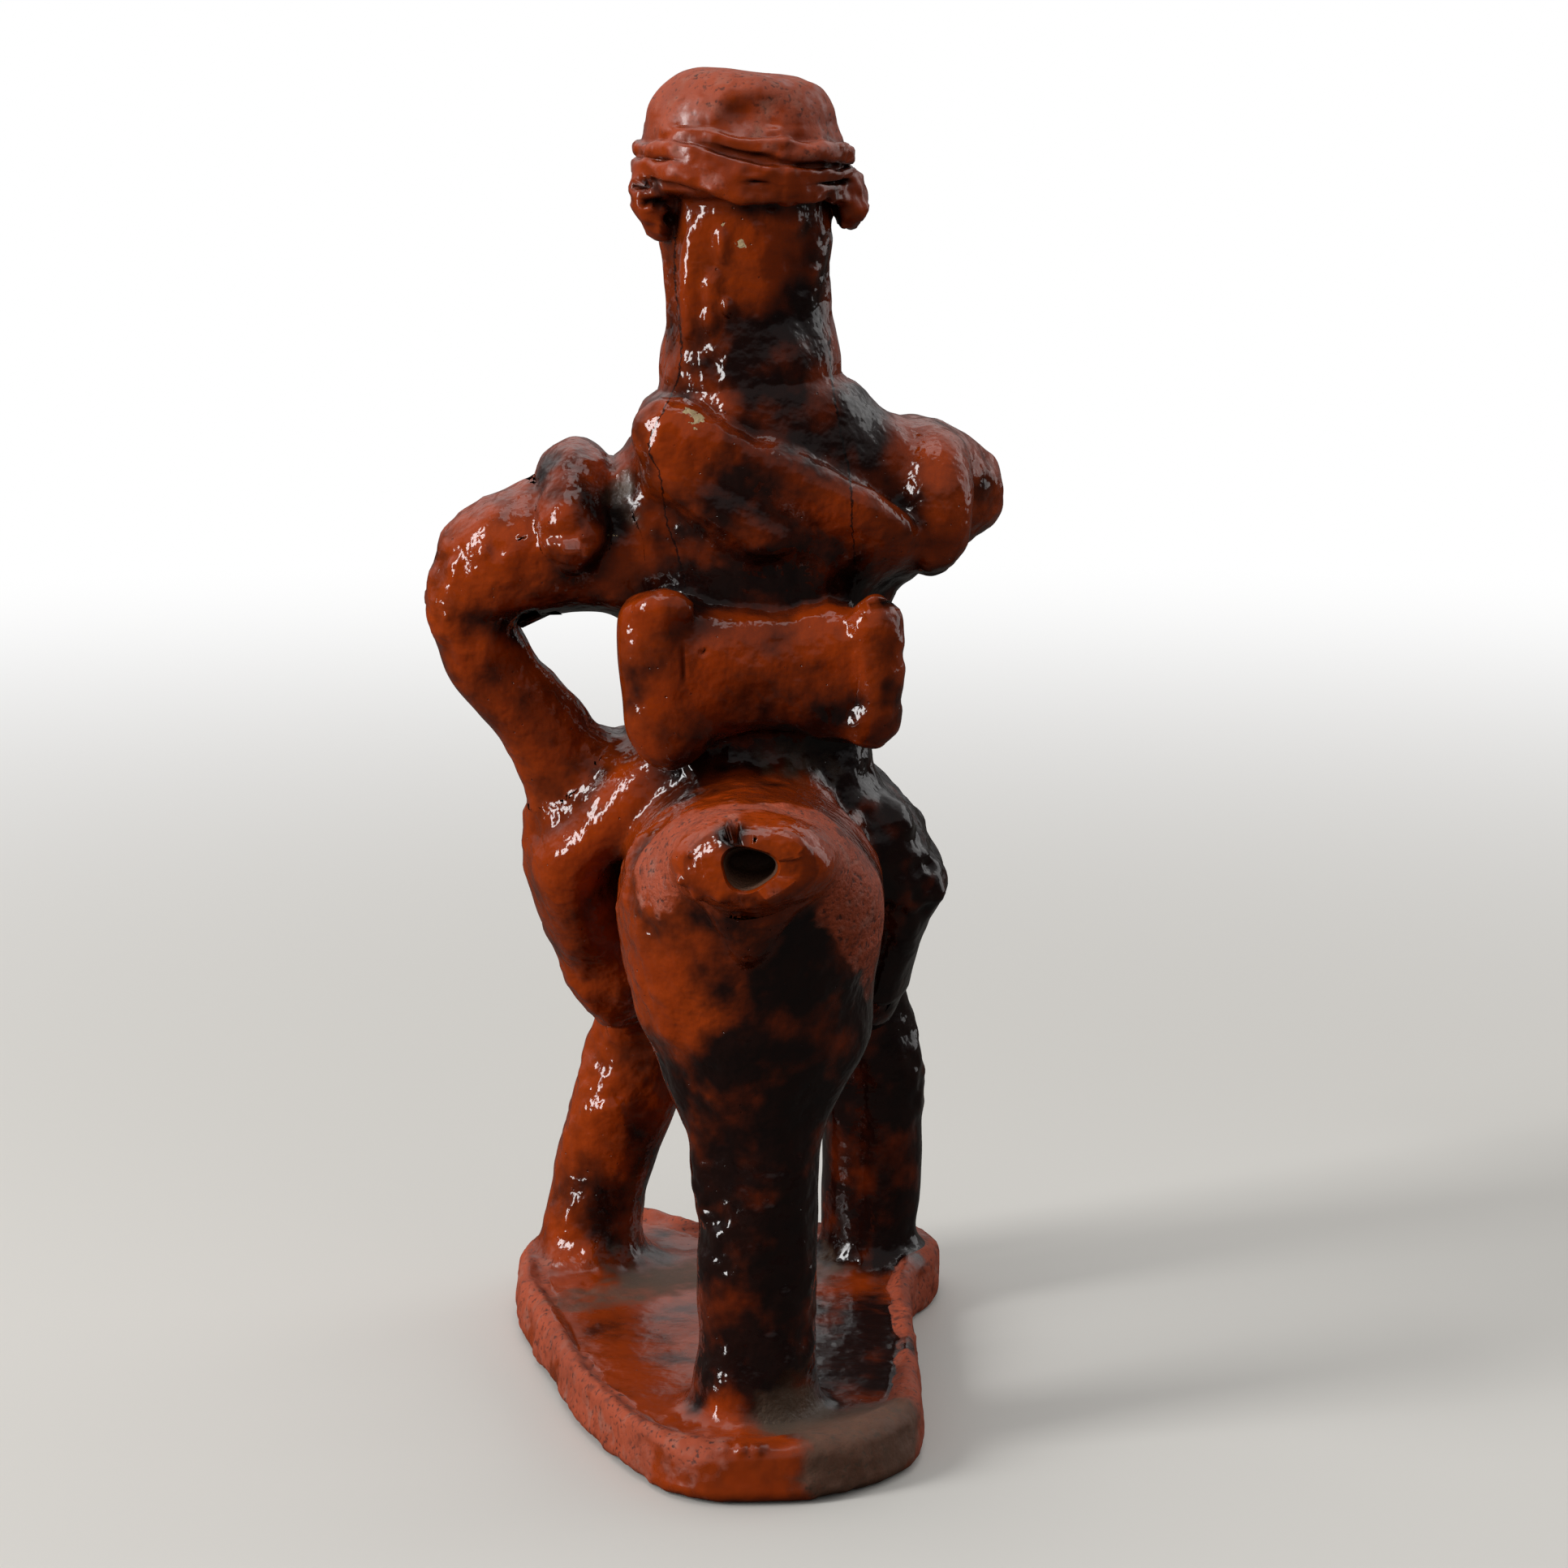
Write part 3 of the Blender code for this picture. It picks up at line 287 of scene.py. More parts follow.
# The piece's own surface: its oval carried along its path, with a dome over each open end, whose rings shrink
# by the cosine of a turn while they move out by its sine
def pieceGrid(piece):
    half = piece["rows"][:, 12:]
    sides = int(max(24, math.pi * (half[:, 0] + half[:, 1:].mean(axis=1)).max() / clay["step"]))
    rings = int(max(12, piece["length"] / clay["step"]))
    rows = throughKeys(piece["path"], rings, piece["closed"])[0]
    run, across, up = pathFrames(rows[:, :3], piece["side"], piece["closed"], piece["lean"])
    centre, half = rows[:, :3], rows[:, 3:]
    if not piece["closed"]:
        domes = int(max(9, half[[0, -1]].min(axis=1).max() / clay["step"]))   # rings over an end
        turn = np.linspace(0, np.pi / 2, domes + 1)[1:, None]
        low = half[0].min() * piece["ends"][0] * np.sin(turn[::-1])
        high = half[-1].min() * piece["ends"][1] * np.sin(turn)
        shrink = np.maximum(np.cos(turn), 0.02)
        centre = np.vstack([centre[0] - run[0] * low, centre, centre[-1] + run[-1] * high])
        half = np.vstack([half[0] * shrink[::-1], half, half[-1] * shrink])
        across, up = [np.vstack([v[:1].repeat(domes, 0), v, v[-1:].repeat(domes, 0)]) for v in (across, up)]
    return ringGrid(centre, across, up, half, piece["power"], sides, piece["closed"])


# Normals of a mesh at its points: the cross product of each face's two diagonals, summed at its corners
def pointNormals(points, faces):
    corners = np.array([face if len(face) == 4 else (*face, face[2]) for face in faces])
    a, b, c, d = (points[corners[:, k]] for k in range(4))
    normal = np.cross(c - a, d - b)
    total = np.zeros_like(points)
    for k in range(4):
        for axis in range(3):
            total[:, axis] += np.bincount(corners[:, k], normal[:, axis], len(points))
    return total / (np.linalg.norm(total, axis=1)[:, None] + 1e-12)


# Whether two pieces are near enough for slip to join them
def boxesMeet(first, second):
    apart = np.maximum(first["low"] - second["high"], second["low"] - first["high"])
    return bool((apart < clay["reach"]).all())


# What the hands left, in mm out from the smooth clay: thumb presses, finger dents and grit, each a noise of
# its own size and the same function of place for every piece, with a torn edge only away from joints
def handled(piece, points, behind):
    thumb = latticeNoise(points, clay["thumb"], 1) + 0.5 * latticeNoise(points, clay["thumb"] / 2, 2)
    finger = latticeNoise(points, clay["finger"], 3)
    grit = latticeNoise(points, clay["grit"], 4)
    patch = np.clip(0.55 + 1.2 * latticeNoise(points, clay["patch"], 7), 0.1, 1.2)
    press = clay["thumbDepth"] * thumb + (clay["fingerDepth"] * finger + clay["gritDepth"] * grit) * patch
    clear = np.clip(-behind / clay["clear"], 0, 1)
    press = press * (1 + (piece.get("lumpy", 1.0) - 1) * clear)
    if "fluted" in piece:   # strokes of the fingers down the neck
        stroke = latticeNoise(points * (1, 1, clay["strokeShort"]), clay["stroke"], 8)
        press = press + stroke * piece["fluted"] * clear
    if "ragged" in piece:
        torn = latticeNoise(points, clay["tear"], 5) + 0.7 * latticeNoise(points, clay["tear"] / 2, 6)
        bare = piece["rubbed"](points) if "rubbed" in piece else 1.0
        press = press + torn * piece["ragged"] * bare * np.clip(-behind / clay["tearClear"], 0, 1)
    return press


# How far a point is from the finished skin: from the whole clay, pressed by the hands. Past the middle of a
# joint the piece sinks under its neighbour's skin by seven tenths of how far past, so that the two cross.
def skinAt(piece, points):
    whole, behind = clayAt(piece, points)[:2]
    return whole - handled(piece, points, behind), np.clip(0.7 * behind, 0, 1.5), behind


# Moves a surface along its normals on to the finished skin: a first step of the whole miss, then four more,
# each the step that the last two misses point to
def settle(piece, points, normals):
    skin, sink, behind = skinAt(piece, points)
    miss = skin + sink
    seen = np.clip((clay["buried"] - behind) / 2, 0, 1)   # what is buried stays where it is
    if "bent" in piece:   # the rings cross inside a tight bend, so the skin's own normal leads each point
        normals = skinNormals(piece, points)
    else:                 # a fold of the rings lies under the piece's own skin and stays there
        seen = seen * np.clip((piece["distance"](piece, points) + 0.9) / 0.3, 0, 1)
    move = np.clip(-miss, -3, 5)
    last, lastMiss = 0 * move, miss
    for turn in range(4):
        skin, sink = skinAt(piece, points + normals * move[:, None])[:2]
        miss = skin + sink
        gap = move - last
        slope = np.clip((miss - lastMiss) / np.where(np.abs(gap) < 1e-5, 1e-5, gap), 0.4, 2.5)
        last, lastMiss = move, miss
        move = np.clip(move - np.clip(miss / slope, -1.5, 1.5), -4, 7)
    found = np.abs(lastMiss) <= clay["missed"]   # a step that found no skin isn't taken
    move = np.where(found, np.clip(move, *clay["moves"]), 0) * seen
    move[piece.get("settled", len(points)):] = 0   # points after this one, in the windway, stay put
    return points + normals * move[:, None]


# Normals of the finished skin, from how its field changes over a short step along each axis
def skinNormals(piece, points):
    here = skinAt(piece, points)[0]
    ahead = [skinAt(piece, points + axis * clay["feel"])[0] for axis in (xAxis, yAxis, zAxis)]
    slope = np.stack(ahead, axis=1) - here[:, None]
    return slope / (np.linalg.norm(slope, axis=1)[:, None] + 1e-12)


# An sRGB hex colour as the linear values that a shader takes
def linear(hexColour):
    parts = [int(hexColour[k:k + 2], 16) / 255 for k in (1, 3, 5)]
    return (*[v / 12.92 if v <= 0.04045 else ((v + 0.055) / 1.055) ** 2.4 for v in parts], 1.0)


baseSlab = {
    "node": "base_slab", "dark": 0.2, "dry": 0.12, "slot": "dull_clay", "seam": 3.0, "dents": (),
    "middle": (-3.5, 4.0), "size": (63.0, 106.0), "thick": 7.5, "edge": 1.9, "lean": 0.15, "lumpy": 0.45,
    "dish": 1.0, "rings": 90, "ragged": 0.4, "sides": 520,
    "bumps": [  # beads along the edge of the glaze that ran over the front
        (-3.2, -47, 6.9, 0.9, 0.9, 0.7, 0.8), (-1, -47.4, 6.9, 0.7, 0.7, 0.6, 0.8),
        (1.2, -47.2, 6.9, 0.8, 0.8, 0.6, 0.8), (4.2, -44.6, 6.9, 0.8, 0.8, 0.7, 0.8),
        (5.6, -44, 6.9, 0.7, 0.7, 0.6, 0.8),
    ],
    "run": [(3, -47, 5, 7.5, 1)],   # the glaze that ran over the front: x, y, z, radius and amount
    "outline": [  # shares of the half width and half length, from the tail round the left side
        (0.24, -1.00), (-0.20, -0.95), (-0.58, -0.55), (-0.86, 0.00), (-1.00, 0.42), (-0.92, 0.75),
        (-0.52, 1.00), (-0.16, 0.88), (0.30, 0.86), (0.72, 0.92), (0.98, 0.76), (0.98, 0.58), (0.86, 0.36),
        (0.85, 0.00), (0.85, -0.42), (0.80, -0.74), (0.56, -0.92),
    ],
}


# How far the slab's outline lies from its middle, by the angle round it
def slabReach(angle):
    outline = throughKeys([(x, y, 0.0) for x, y in baseSlab["outline"]], 360, True)[0]
    outline = outline[:, :2] * np.array(baseSlab["size"]) / 2
    turn = np.arctan2(outline[:, 1], outline[:, 0])
    return np.interp(angle, turn, np.linalg.norm(outline, axis=1), period=2 * np.pi)


# How far the top is thumbed down inside the rim, by the share of the way out
def slabDish(share, angle):
    dish = np.clip((0.93 - share + 0.03 * np.cos(3 * angle)) / 0.08, 0, 1)
    return baseSlab["dish"] * dish * dish * (3 - 2 * dish)


# Distance to the slab: out from its outline and up from its faces, with the edge rounded
def slabDistance(piece, points):
    flat = points[:, :2] - np.array(piece["middle"])
    edge = piece["edge"]
    angle, far = np.arctan2(flat[:, 1], flat[:, 0]), np.linalg.norm(flat, axis=1)
    reach = slabReach(angle)
    out = far - reach + piece["lean"] * np.clip(points[:, 2], 0, piece["thick"])
    rise = np.maximum(points[:, 2] - piece["thick"] + slabDish(far / reach, angle), -points[:, 2])
    past = np.stack([out * 0.9 + edge, rise + edge], 1)
    return np.linalg.norm(np.maximum(past, 0), axis=1) + np.minimum(past.max(axis=1), 0) - edge


# The slab's surface: from the middle of its underside out, round its edge and back in over the top
def slabGrid(piece):
    thick, edge = piece["thick"], piece["edge"]
    angle = np.linspace(0, 2 * np.pi, piece["sides"], endpoint=False)
    inner = np.linspace(0.012, 1, piece["rings"])
    bend = np.linspace(0, np.pi / 2, 8)[1:]
    wall = np.linspace(edge, thick - edge, 6)[1:]
    share = np.concatenate([inner[::4], np.ones(2 * len(bend) + len(wall)), inner[::-1][1:]])
    under, over = edge - edge * np.cos(bend), edge * np.sin(bend)   # the rounded edge: a quarter circle
    inset = np.concatenate([0 * inner[::4] + edge, edge - over, 0 * wall, under, 0 * inner[1:] + edge])
    height = np.concatenate([0 * inner[::4], under, wall, thick - edge + over, 0 * inner[1:] + thick])
    reach = share[:, None] * (slabReach(angle) - edge) + (edge - inset)[:, None] * (share[:, None] == 1)
    x = piece["middle"][0] + reach * np.cos(angle)
    y = piece["middle"][1] + reach * np.sin(angle)
    height = np.repeat(height[:, None], len(angle), axis=1)
    height = height - slabDish(share[:, None], angle) * (height >= thick)
    points = np.stack([x, y, height], -1).reshape(-1, 3)
    points = np.vstack([points, [*piece["middle"], 0.0], [*piece["middle"], thick]])
    faces = [[face[0], *face[:0:-1]] for face in ringFaces(len(share), len(angle))]   # turned to face out
    return points, faces


baseSlab["low"], baseSlab["high"] = np.array([-36.0, -51.0, 0.0]), np.array([30.0, 59.0, 7.5])
baseSlab["distance"], baseSlab["grid"] = slabDistance, slabGrid
figure.append(baseSlab)

# A row of a path is x, y, z, half width, half height up and half height down, in mm. A row of bumps or dents
# is a pellet's x, y, z, its three half widths and how far its edge is smeared.
horseBody = {
    "node": "horse_body", "dark": 0.2, "slot": "orange_glaze", "seam": 3.0,
    "path": [
        (0, -45.2, 73.2, 2.4, 2.2, 3.2), (0, -44.2, 73.3, 5.6, 5, 7.3), (0, -40.9, 73.5, 11.4, 10, 14.8),
        (0, -35.2, 73.5, 15.5, 13.6, 21.3), (0, -26.4, 73.5, 17.3, 14.6, 26),
        (0, -8.8, 73.5, 16.4, 13.6, 23.4), (0, 8.8, 73.5, 16.1, 13.2, 22.6),
        (0, 26.4, 73.5, 17.3, 13.5, 26), (0, 36.1, 73.5, 15, 11.6, 21.3), (0, 41.4, 73.5, 10.4, 8, 14.3),
        (0, 43.6, 73.5, 6.2, 4.7, 8.2), (0, 44.6, 73.5, 2.6, 2, 3.4),
    ],
}
luteOn(horseBody)

mouthpiece = {
    "node": "whistle_mouthpiece", "dark": 0.12, "dry": 0.2, "slot": "orange_glaze", "seam": 9.0,
    "lumpy": 0.9, "ends": (0.5, 0.02),
    "path": [
        (0.8, -40, 80, 10.4, 6, 6.2), (0.6, -44.5, 82.2, 10.6, 6.2, 6.6),
        (0.5, -47.5, 83.2, 10.2, 5.7, 6.2),
    ],
    # beads of glaze that ran down to the lip
    "bumps": [
        (-8.1, -52, 81.8, 0.7, 0.7, 0.7, 0.9), (-7.1, -53.3, 85.3, 0.55, 0.55, 0.55, 0.8),
        (-6.1, -52.1, 80, 0.8, 0.8, 0.8, 0.9), (-3.3, -54, 80.2, 0.7, 0.7, 0.7, 0.9),
        (0.3, -53.6, 79.4, 0.9, 0.8, 0.8, 0.9), (4.4, -54, 86.2, 2.4, 0.9, 1, 2),
    ],
    "dents": [  # the window that the jet of air blows across, and the slit where the lip was nicked
        (0, -50.4, 77.2, 2.5, 1.3, 2.6, 0.4), (-1.9, -53.2, 87.6, 0.9, 3.4, 2.3, 0.4),
    ],
    "hole": (0.1, -54.8, 83.8), "holeHalf": (3.1, 2.5, 2.5), "lip": 1.15, "deep": 9.0,
    "narrows": (0.1, 0.5, 0.5),
    "noseTurns": (18, 34, 48, 62, 74, 83, 90), "sides": 130, "stubRings": 56, "wayRings": 22,
    "cleanRings": 6, "soot": 0.9,   # of the windway, how far in it is clean, and how sooty after that
}
# The nose is a quarter oval round to the hole: its middle moves by the sine of a turn, and its half width
# shrinks by the cosine
noseEnd = np.array(mouthpiece["path"][-1])
lipHalf = np.array(mouthpiece["holeHalf"]) * mouthpiece["lip"]
for turn in np.radians(mouthpiece["noseTurns"]):
    middle = noseEnd[:3] + (np.array(mouthpiece["hole"]) - noseEnd[:3]) * math.sin(turn)
    mouthpiece["path"].append((*middle, *(lipHalf + (noseEnd[3:] - lipHalf) * abs(math.cos(turn)) ** 0.85)))
luteOn(mouthpiece)


# Mouthpiece surface: rings of an oval along the stub and its nose, then on into the windway
def mouthpieceGrid(piece):
    rows = throughKeys(piece["path"], piece["stubRings"])[0]
    run, across, up = pathFrames(rows[:, :3], piece["side"])
    inside = np.linspace(0, 1, piece["wayRings"])[1:, None] ** 2   # close together behind the lip
    hole, holeHalf = np.array(piece["hole"]), np.array(piece["holeHalf"])
    deepCentre = hole - run[-1] * piece["deep"] * inside
    flare = (piece["lip"] - 1) * np.exp(-inside * 14)
    deepHalf = holeHalf * (1 + flare - np.array(piece["narrows"]) * inside)
    centre = np.vstack([rows[:, :3], deepCentre])
    half = np.vstack([rows[:, 3:], deepHalf])
    across, up = [np.vstack([v, v[-1:].repeat(len(inside), 0)]) for v in (across, up)]
    mark = np.concatenate([np.linspace(0, 1, len(rows)) ** 8, (1 - inside[:, 0]) ** 2])
    piece["settled"] = (len(rows) - 1) * piece["sides"]
    swell = lambda a: 1 + mark[:, None] * 0.10 * np.cos(3 * a + 0.6)   # the lip isn't quite round
    return ringGrid(centre, across, up, half, piece["power"], piece["sides"], swell=swell)


mouthpiece["grid"] = mouthpieceGrid

hindLeg = {
    "node": "hind_leg", "dark": 1.5, "slot": "brown_glaze", "seam": 3.0,
    "path": [
        (0.8, -30, 3.5, 8.9), (0.8, -30, 9, 8.3), (0.8, -29.8, 18, 7.9), (0.8, -29.4, 30, 7.9),
        (0.6, -28.8, 40, 8.3), (0.6, -28.2, 45, 9.6), (0.8, -27.4, 51, 12.4), (1.2, -26.8, 56.5, 14.8),
        (1.2, -26.4, 60, 14.4),
    ],
}
luteOn(hindLeg)
leftForeleg = {
    "node": "left_foreleg", "dark": 0.0, "slot": "orange_glaze", "seam": 5.0,
    "path": [
        (-24, 34, 3.5, 8.2), (-23.7, 34, 11, 7.4), (-21.8, 34, 21, 7.2), (-18.1, 33.6, 33, 7.5),
        (-14, 33, 46, 8.2), (-10, 32, 60, 8.6),
    ],
}
luteOn(leftForeleg)
rightForeleg = {
    "node": "right_foreleg", "dark": 1.5, "slot": "dark_glaze", "seam": 5.0,
    "path": [
        (16.8, 34, 3.5, 8.2), (17, 34, 11, 7.2), (17.4, 34, 22, 7.3), (17, 33.8, 36, 7.6),
        (13.8, 33, 49, 7.8), (10, 32, 60, 8.4),
    ],
}
luteOn(rightForeleg)
horseNeck = {
    "node": "horse_neck", "dark": 0.35, "slot": "brown_glaze", "seam": 5.0,
    "path": [
        (0, 26.5, 73.5, 11.7, 15, 12.6), (0, 31.5, 93, 9.6, 12.4, 11.5), (0, 37, 111.5, 8.1, 9.9, 9.4),
        (0, 41.5, 128, 7.4, 7.6),
    ],
}
luteOn(horseNeck)
horseHead = {
    "node": "horse_head", "dark": 0.1, "slot": "orange_glaze", "seam": 4.0,
    "path": [
        (0, 35.5, 132.6, 4.1, 3.7, 4.5), (0, 38.5, 130.3, 6.5, 6.4, 6.6), (0, 45.1, 125.2, 7.5, 7.8, 8.3),
        (0, 52.3, 119.7, 7.4, 7.1, 8.7), (0, 60.1, 113.7, 5.8, 5.8, 6.2), (0, 67, 108.5, 5.7, 5.4, 6),
        (0, 70.9, 105.5, 5, 4.6, 5.1), (0, 72.6, 104.1, 3, 2.8, 3.1),
    ],
    # eyes, then the pupils, nostrils and corners of the mouth, the same on both sides
    "bumps": [(s * 6.6, 47.5, 126.5, 1.9, 1.9, 1.9, 1.2) for s in (-1, 1)],
    "dents": [
        (s * x, *rest) for s in (-1, 1) for x, *rest in (
            (8.6, 47.7, 126.7, 1, 1, 1, 0.5), (3.4, 72.4, 106.6, 1.1, 1.4, 1.1, 0.8),
            (4.6, 69.4, 102.3, 1.6, 4, 0.5, 0.5),
        )
    ],
}
luteOn(horseHead)
mane = {
    "node": "mane", "dark": 0.8, "slot": "dark_glaze", "seam": 2.2,
    "path": [
        (0, 20.3, 95, 2.1), (0, 27, 111.5, 2.8), (0, 33.2, 125.5, 2.9), (0, 41.4, 135.6, 2.7),
        (0, 51, 131, 1.7),
    ],
}
luteOn(mane)
horseEars = {
    "nodes": ("horse_left_ear", "horse_right_ear"), "root": (4.2, 41.6, 131.6), "tip": (6.5, 40.5, 142.1),
    "half": 2.8,
    "shares": (  # of the way to the tip, then of the half width
        (0, 1, 0.85, 0.85), (0.45, 0.95, 0.75, 0.55), (0.82, 0.62, 0.48, 0.32), (1, 0.22, 0.2, 0.2),
    ),
}
for sign, node in zip((-1, 1), horseEars["nodes"]):
    root, tip = np.array(horseEars["root"]), np.array(horseEars["tip"])
    path = []
    for share, *wide in horseEars["shares"]:
        place = (root + (tip - root) * share) * (sign, 1, 1)
        path.append((*place, *(np.array(wide) * horseEars["half"])))
    luteOn({"node": node, "dark": 0.1, "slot": "orange_glaze", "seam": 1.5, "path": path})

riderTorso = {
    "node": "rider_torso", "dark": 1.0, "slot": "brown_glaze", "seam": 4.0,
    "path": [
        (0.5, 2, 84, 16.6, 12.6, 13.2), (0.5, 2, 92.7, 16, 12), (1, 2, 105, 17, 12.6),
        (1.2, 2, 117, 19, 13.5), (1.2, 2, 126.5, 19.8, 13), (0.8, 2, 132.6, 16.2, 11.2),
        (0.2, 2, 136.4, 11.8, 9.6), (0, 2, 138.3, 8.1, 8),
    ],
}
luteOn(riderTorso)
leftCoatSkirt = {
    "node": "left_coat_skirt", "dark": 0.2, "slot": "orange_glaze", "seam": 4.5, "ends": (0.4, 0.7),
    "lumpy": 1.5,
    "path": [
        (-9, 3.3, 89.8, 4.2, 9.1), (-17, 4.5, 84, 5.6, 12), (-23.9, 6.9, 75.6, 6.9, 12.4),
        (-23.4, 9.8, 63.5, 5.3, 10.4),
    ],
}
luteOn(leftCoatSkirt)
rightCoatSkirt = {
    "node": "right_coat_skirt", "dark": 1.3, "slot": "dark_glaze", "seam": 3.0, "ends": (0.4, 0.5),
    "path": [
        (9, 3.3, 89.9, 4, 9.1), (13, 4.4, 82.6, 4.8, 11.6), (19.2, 6.9, 71.2, 6.4, 12.6),
        (17.1, 9.8, 56, 4.2, 10.1),
    ],
    "bumps": [(23.6, 4, 70.4, 3, 6.5, 2.6, 4), (18.5, -2.5, 76, 2.6, 3, 5.5, 4)],
}
luteOn(rightCoatSkirt)
leftLeg = {
    "node": "left_leg", "dark": 0.1, "slot": "orange_glaze", "seam": 4.5, "lumpy": 1.3,
    "path": [
        (-21.8, 8.2, 70.5, 5.6, 6.2), (-21.6, 10, 61, 6, 6.2), (-18.8, 13, 53, 5.2, 5.6),
        (-18.2, 20, 48.8, 4.3, 4.2), (-17.6, 25.6, 47.5, 3.7, 3.5),
    ],
}
luteOn(leftLeg)
rightLeg = {
    "node": "right_leg", "dark": 0.9, "slot": "dark_glaze", "seam": 3.0,
    "path": [
        (16.4, 8.2, 60, 5.3, 6.2), (16, 11, 55.4, 5, 6), (15.6, 13.6, 51.7, 4.8, 5.4),
        (15.6, 25.6, 47.5, 3.7, 3.5),
    ],
}
luteOn(rightLeg)
riderHead = {
    "node": "rider_head", "dark": 0.3, "slot": "brown_glaze", "seam": 8.0, "lumpy": 1.2, "fluted": 0.3,
    "path": [
        (0, 2, 131, 12.2, 10.8, 10.1), (-0.1, 2, 139.2, 11.1, 10.6, 9.4), (-0.2, 2, 144, 11, 10.7, 11.3),
        (-0.4, 2, 149.6, 11.1, 10.9, 12.4), (-0.5, 2, 156.2, 11.2, 11.3, 12.2),
        (-0.6, 2, 161.5, 11, 11.3, 11.5), (-1.3, 2, 168.9, 9.5, 9.9),
    ],
    "bumps": [
        (-0.3, 14.2, 152, 2, 3, 3.8, 1.5), (-0.4, 13, 145, 4, 2.2, 1.6, 2),
        (-7.6, -6.6, 152, 1.6, 1.4, 6.5, 3), (-4.8, -8.2, 151, 1.2, 0.9, 2.4, 1.2),
        (-5.2, -8, 147, 1.1, 0.9, 1.7, 1), (-3.4, -8.7, 156.4, 0.9, 0.8, 2, 1),
        (-3, -8.7, 148.6, 0.8, 0.8, 1.3, 0.9), (-3.9, 12.6, 154.6, 1.5, 1.3, 1.2, 0.8),
        (3.2, 12.6, 154.6, 1.5, 1.3, 1.2, 0.8),
    ],
    "dents": [(-0.4, 14.6, 147.6, 3.2, 1.2, 0.5, 0.5)],
}
luteOn(riderHead)
capCrown = {
    "node": "cap_crown", "dark": 0.0, "dry": 0.55, "slot": "dull_clay", "seam": 1.2, "ends": (0.2, 0.66),
    "lumpy": 0.9,
    "path": [
        (-1.2, 2, 164, 13.4), (-1.2, 2, 167, 13.6), (-1.2, 2, 170, 13.2), (-1.2, 2, 172.2, 12.6),
    ],
    # beaten flat on top, lower at the right, and thumbed hollow at the back
    "dents": [(7, 0, 238.4, 60, 60, 60, 2.4), (1.8, -14.9, 173.9, 7, 6.4, 3, 2)],
}
luteOn(capCrown)
capBands = {
    "nodes": ("cap_band_1", "cap_band_2", "cap_band_3"), "middle": (-1.1, 2.0), "radius": 13.7,
    "thick": 1.2, "stray": 0.3,
    # mm across the back, and the height and half height of each band there
    "at": (-14, -9, -5, -1, 3, 7, 13),
    "heights": (
        (166.5, 166, 165, 163.8, 163.4, 163.2, 163.3), (168.9, 168.7, 167.7, 166.4, 165.6, 165.3, 165.6),
        (171.5, 170.9, 170.4, 169.7, 169.1, 168.5, 167.9),
    ),
    "halves": (
        (1.3, 1.2, 1.3, 1.7, 1.85, 1.7, 1.5), (1, 1, 1.25, 1.5, 1.35, 1.1, 1),
        (1.15, 1.1, 1.1, 1.1, 1.1, 1.1, 1.1),
    ),
}
for index, node in enumerate(capBands["nodes"]):
    turn = np.linspace(0, 2 * np.pi, 48, endpoint=False)
    ring = np.stack([np.cos(turn), np.sin(turn), 0 * turn], 1) * capBands["radius"]
    across = ring[:, 0] + capBands["middle"][0]
    height = np.interp(across, capBands["at"], capBands["heights"][index])
    height = height + latticeNoise(ring, 4.0, 20 + index) * capBands["stray"]
    wide = np.interp(across, capBands["at"], capBands["halves"][index])
    wide = wide * (1 + 0.2 * latticeNoise(ring, 3.0, 40 + index))
    shy = 0.04 * np.maximum(height - 168, 0)   # the crown draws in above
    ring = ring * (1 - shy + 0.02 * latticeNoise(ring, 3.5, 30 + index))[:, None]
    place = ring + (*capBands["middle"], 0.0) + np.outer(height, zAxis)
    rows = np.column_stack([place, wide, 0 * wide + capBands["thick"]])
    luteOn({
        "node": node, "dark": 0.1, "dry": 0.3, "slot": "dull_clay", "seam": 0.5, "ragged": 0.35,
        "closed": True, "side": zAxis, "power": 3.4, "path": [tuple(row) for row in rows],
    })
capLappets = {
    "cap_left_lappet": {
        "path": [
            (-11, -1.6, 157.8, 1.7, 2.4), (-11.8, -2.2, 160, 3, 3.4), (-12.5, -2.4, 163, 3.5, 4.2),
            (-12.9, -1.6, 166, 2.4, 3.4),
        ],
        "dents": [  # the folds of the torn flap
            (-15, -5.4, 164.2, 2.4, 2, 0.5, 0.4), (-12.4, -6.4, 162, 2.4, 2, 0.5, 0.4),
            (-10.2, -5.2, 159.8, 1, 1.8, 0.7, 0.4),
        ],
    },
    "cap_right_lappet": {
        "path": [
            (12.8, 2, 158.9, 1.6, 2.4), (13.2, 2, 161.2, 2.5, 3.6), (12.6, 2, 164.8, 2.2, 3.4),
        ],
    },
}
for node, lappet in capLappets.items():
    luteOn({
        "node": node, "dark": 0.05, "dry": 0.3, "slot": "dull_clay", "seam": 0.8, "ragged": 0.5, **lappet,
    })

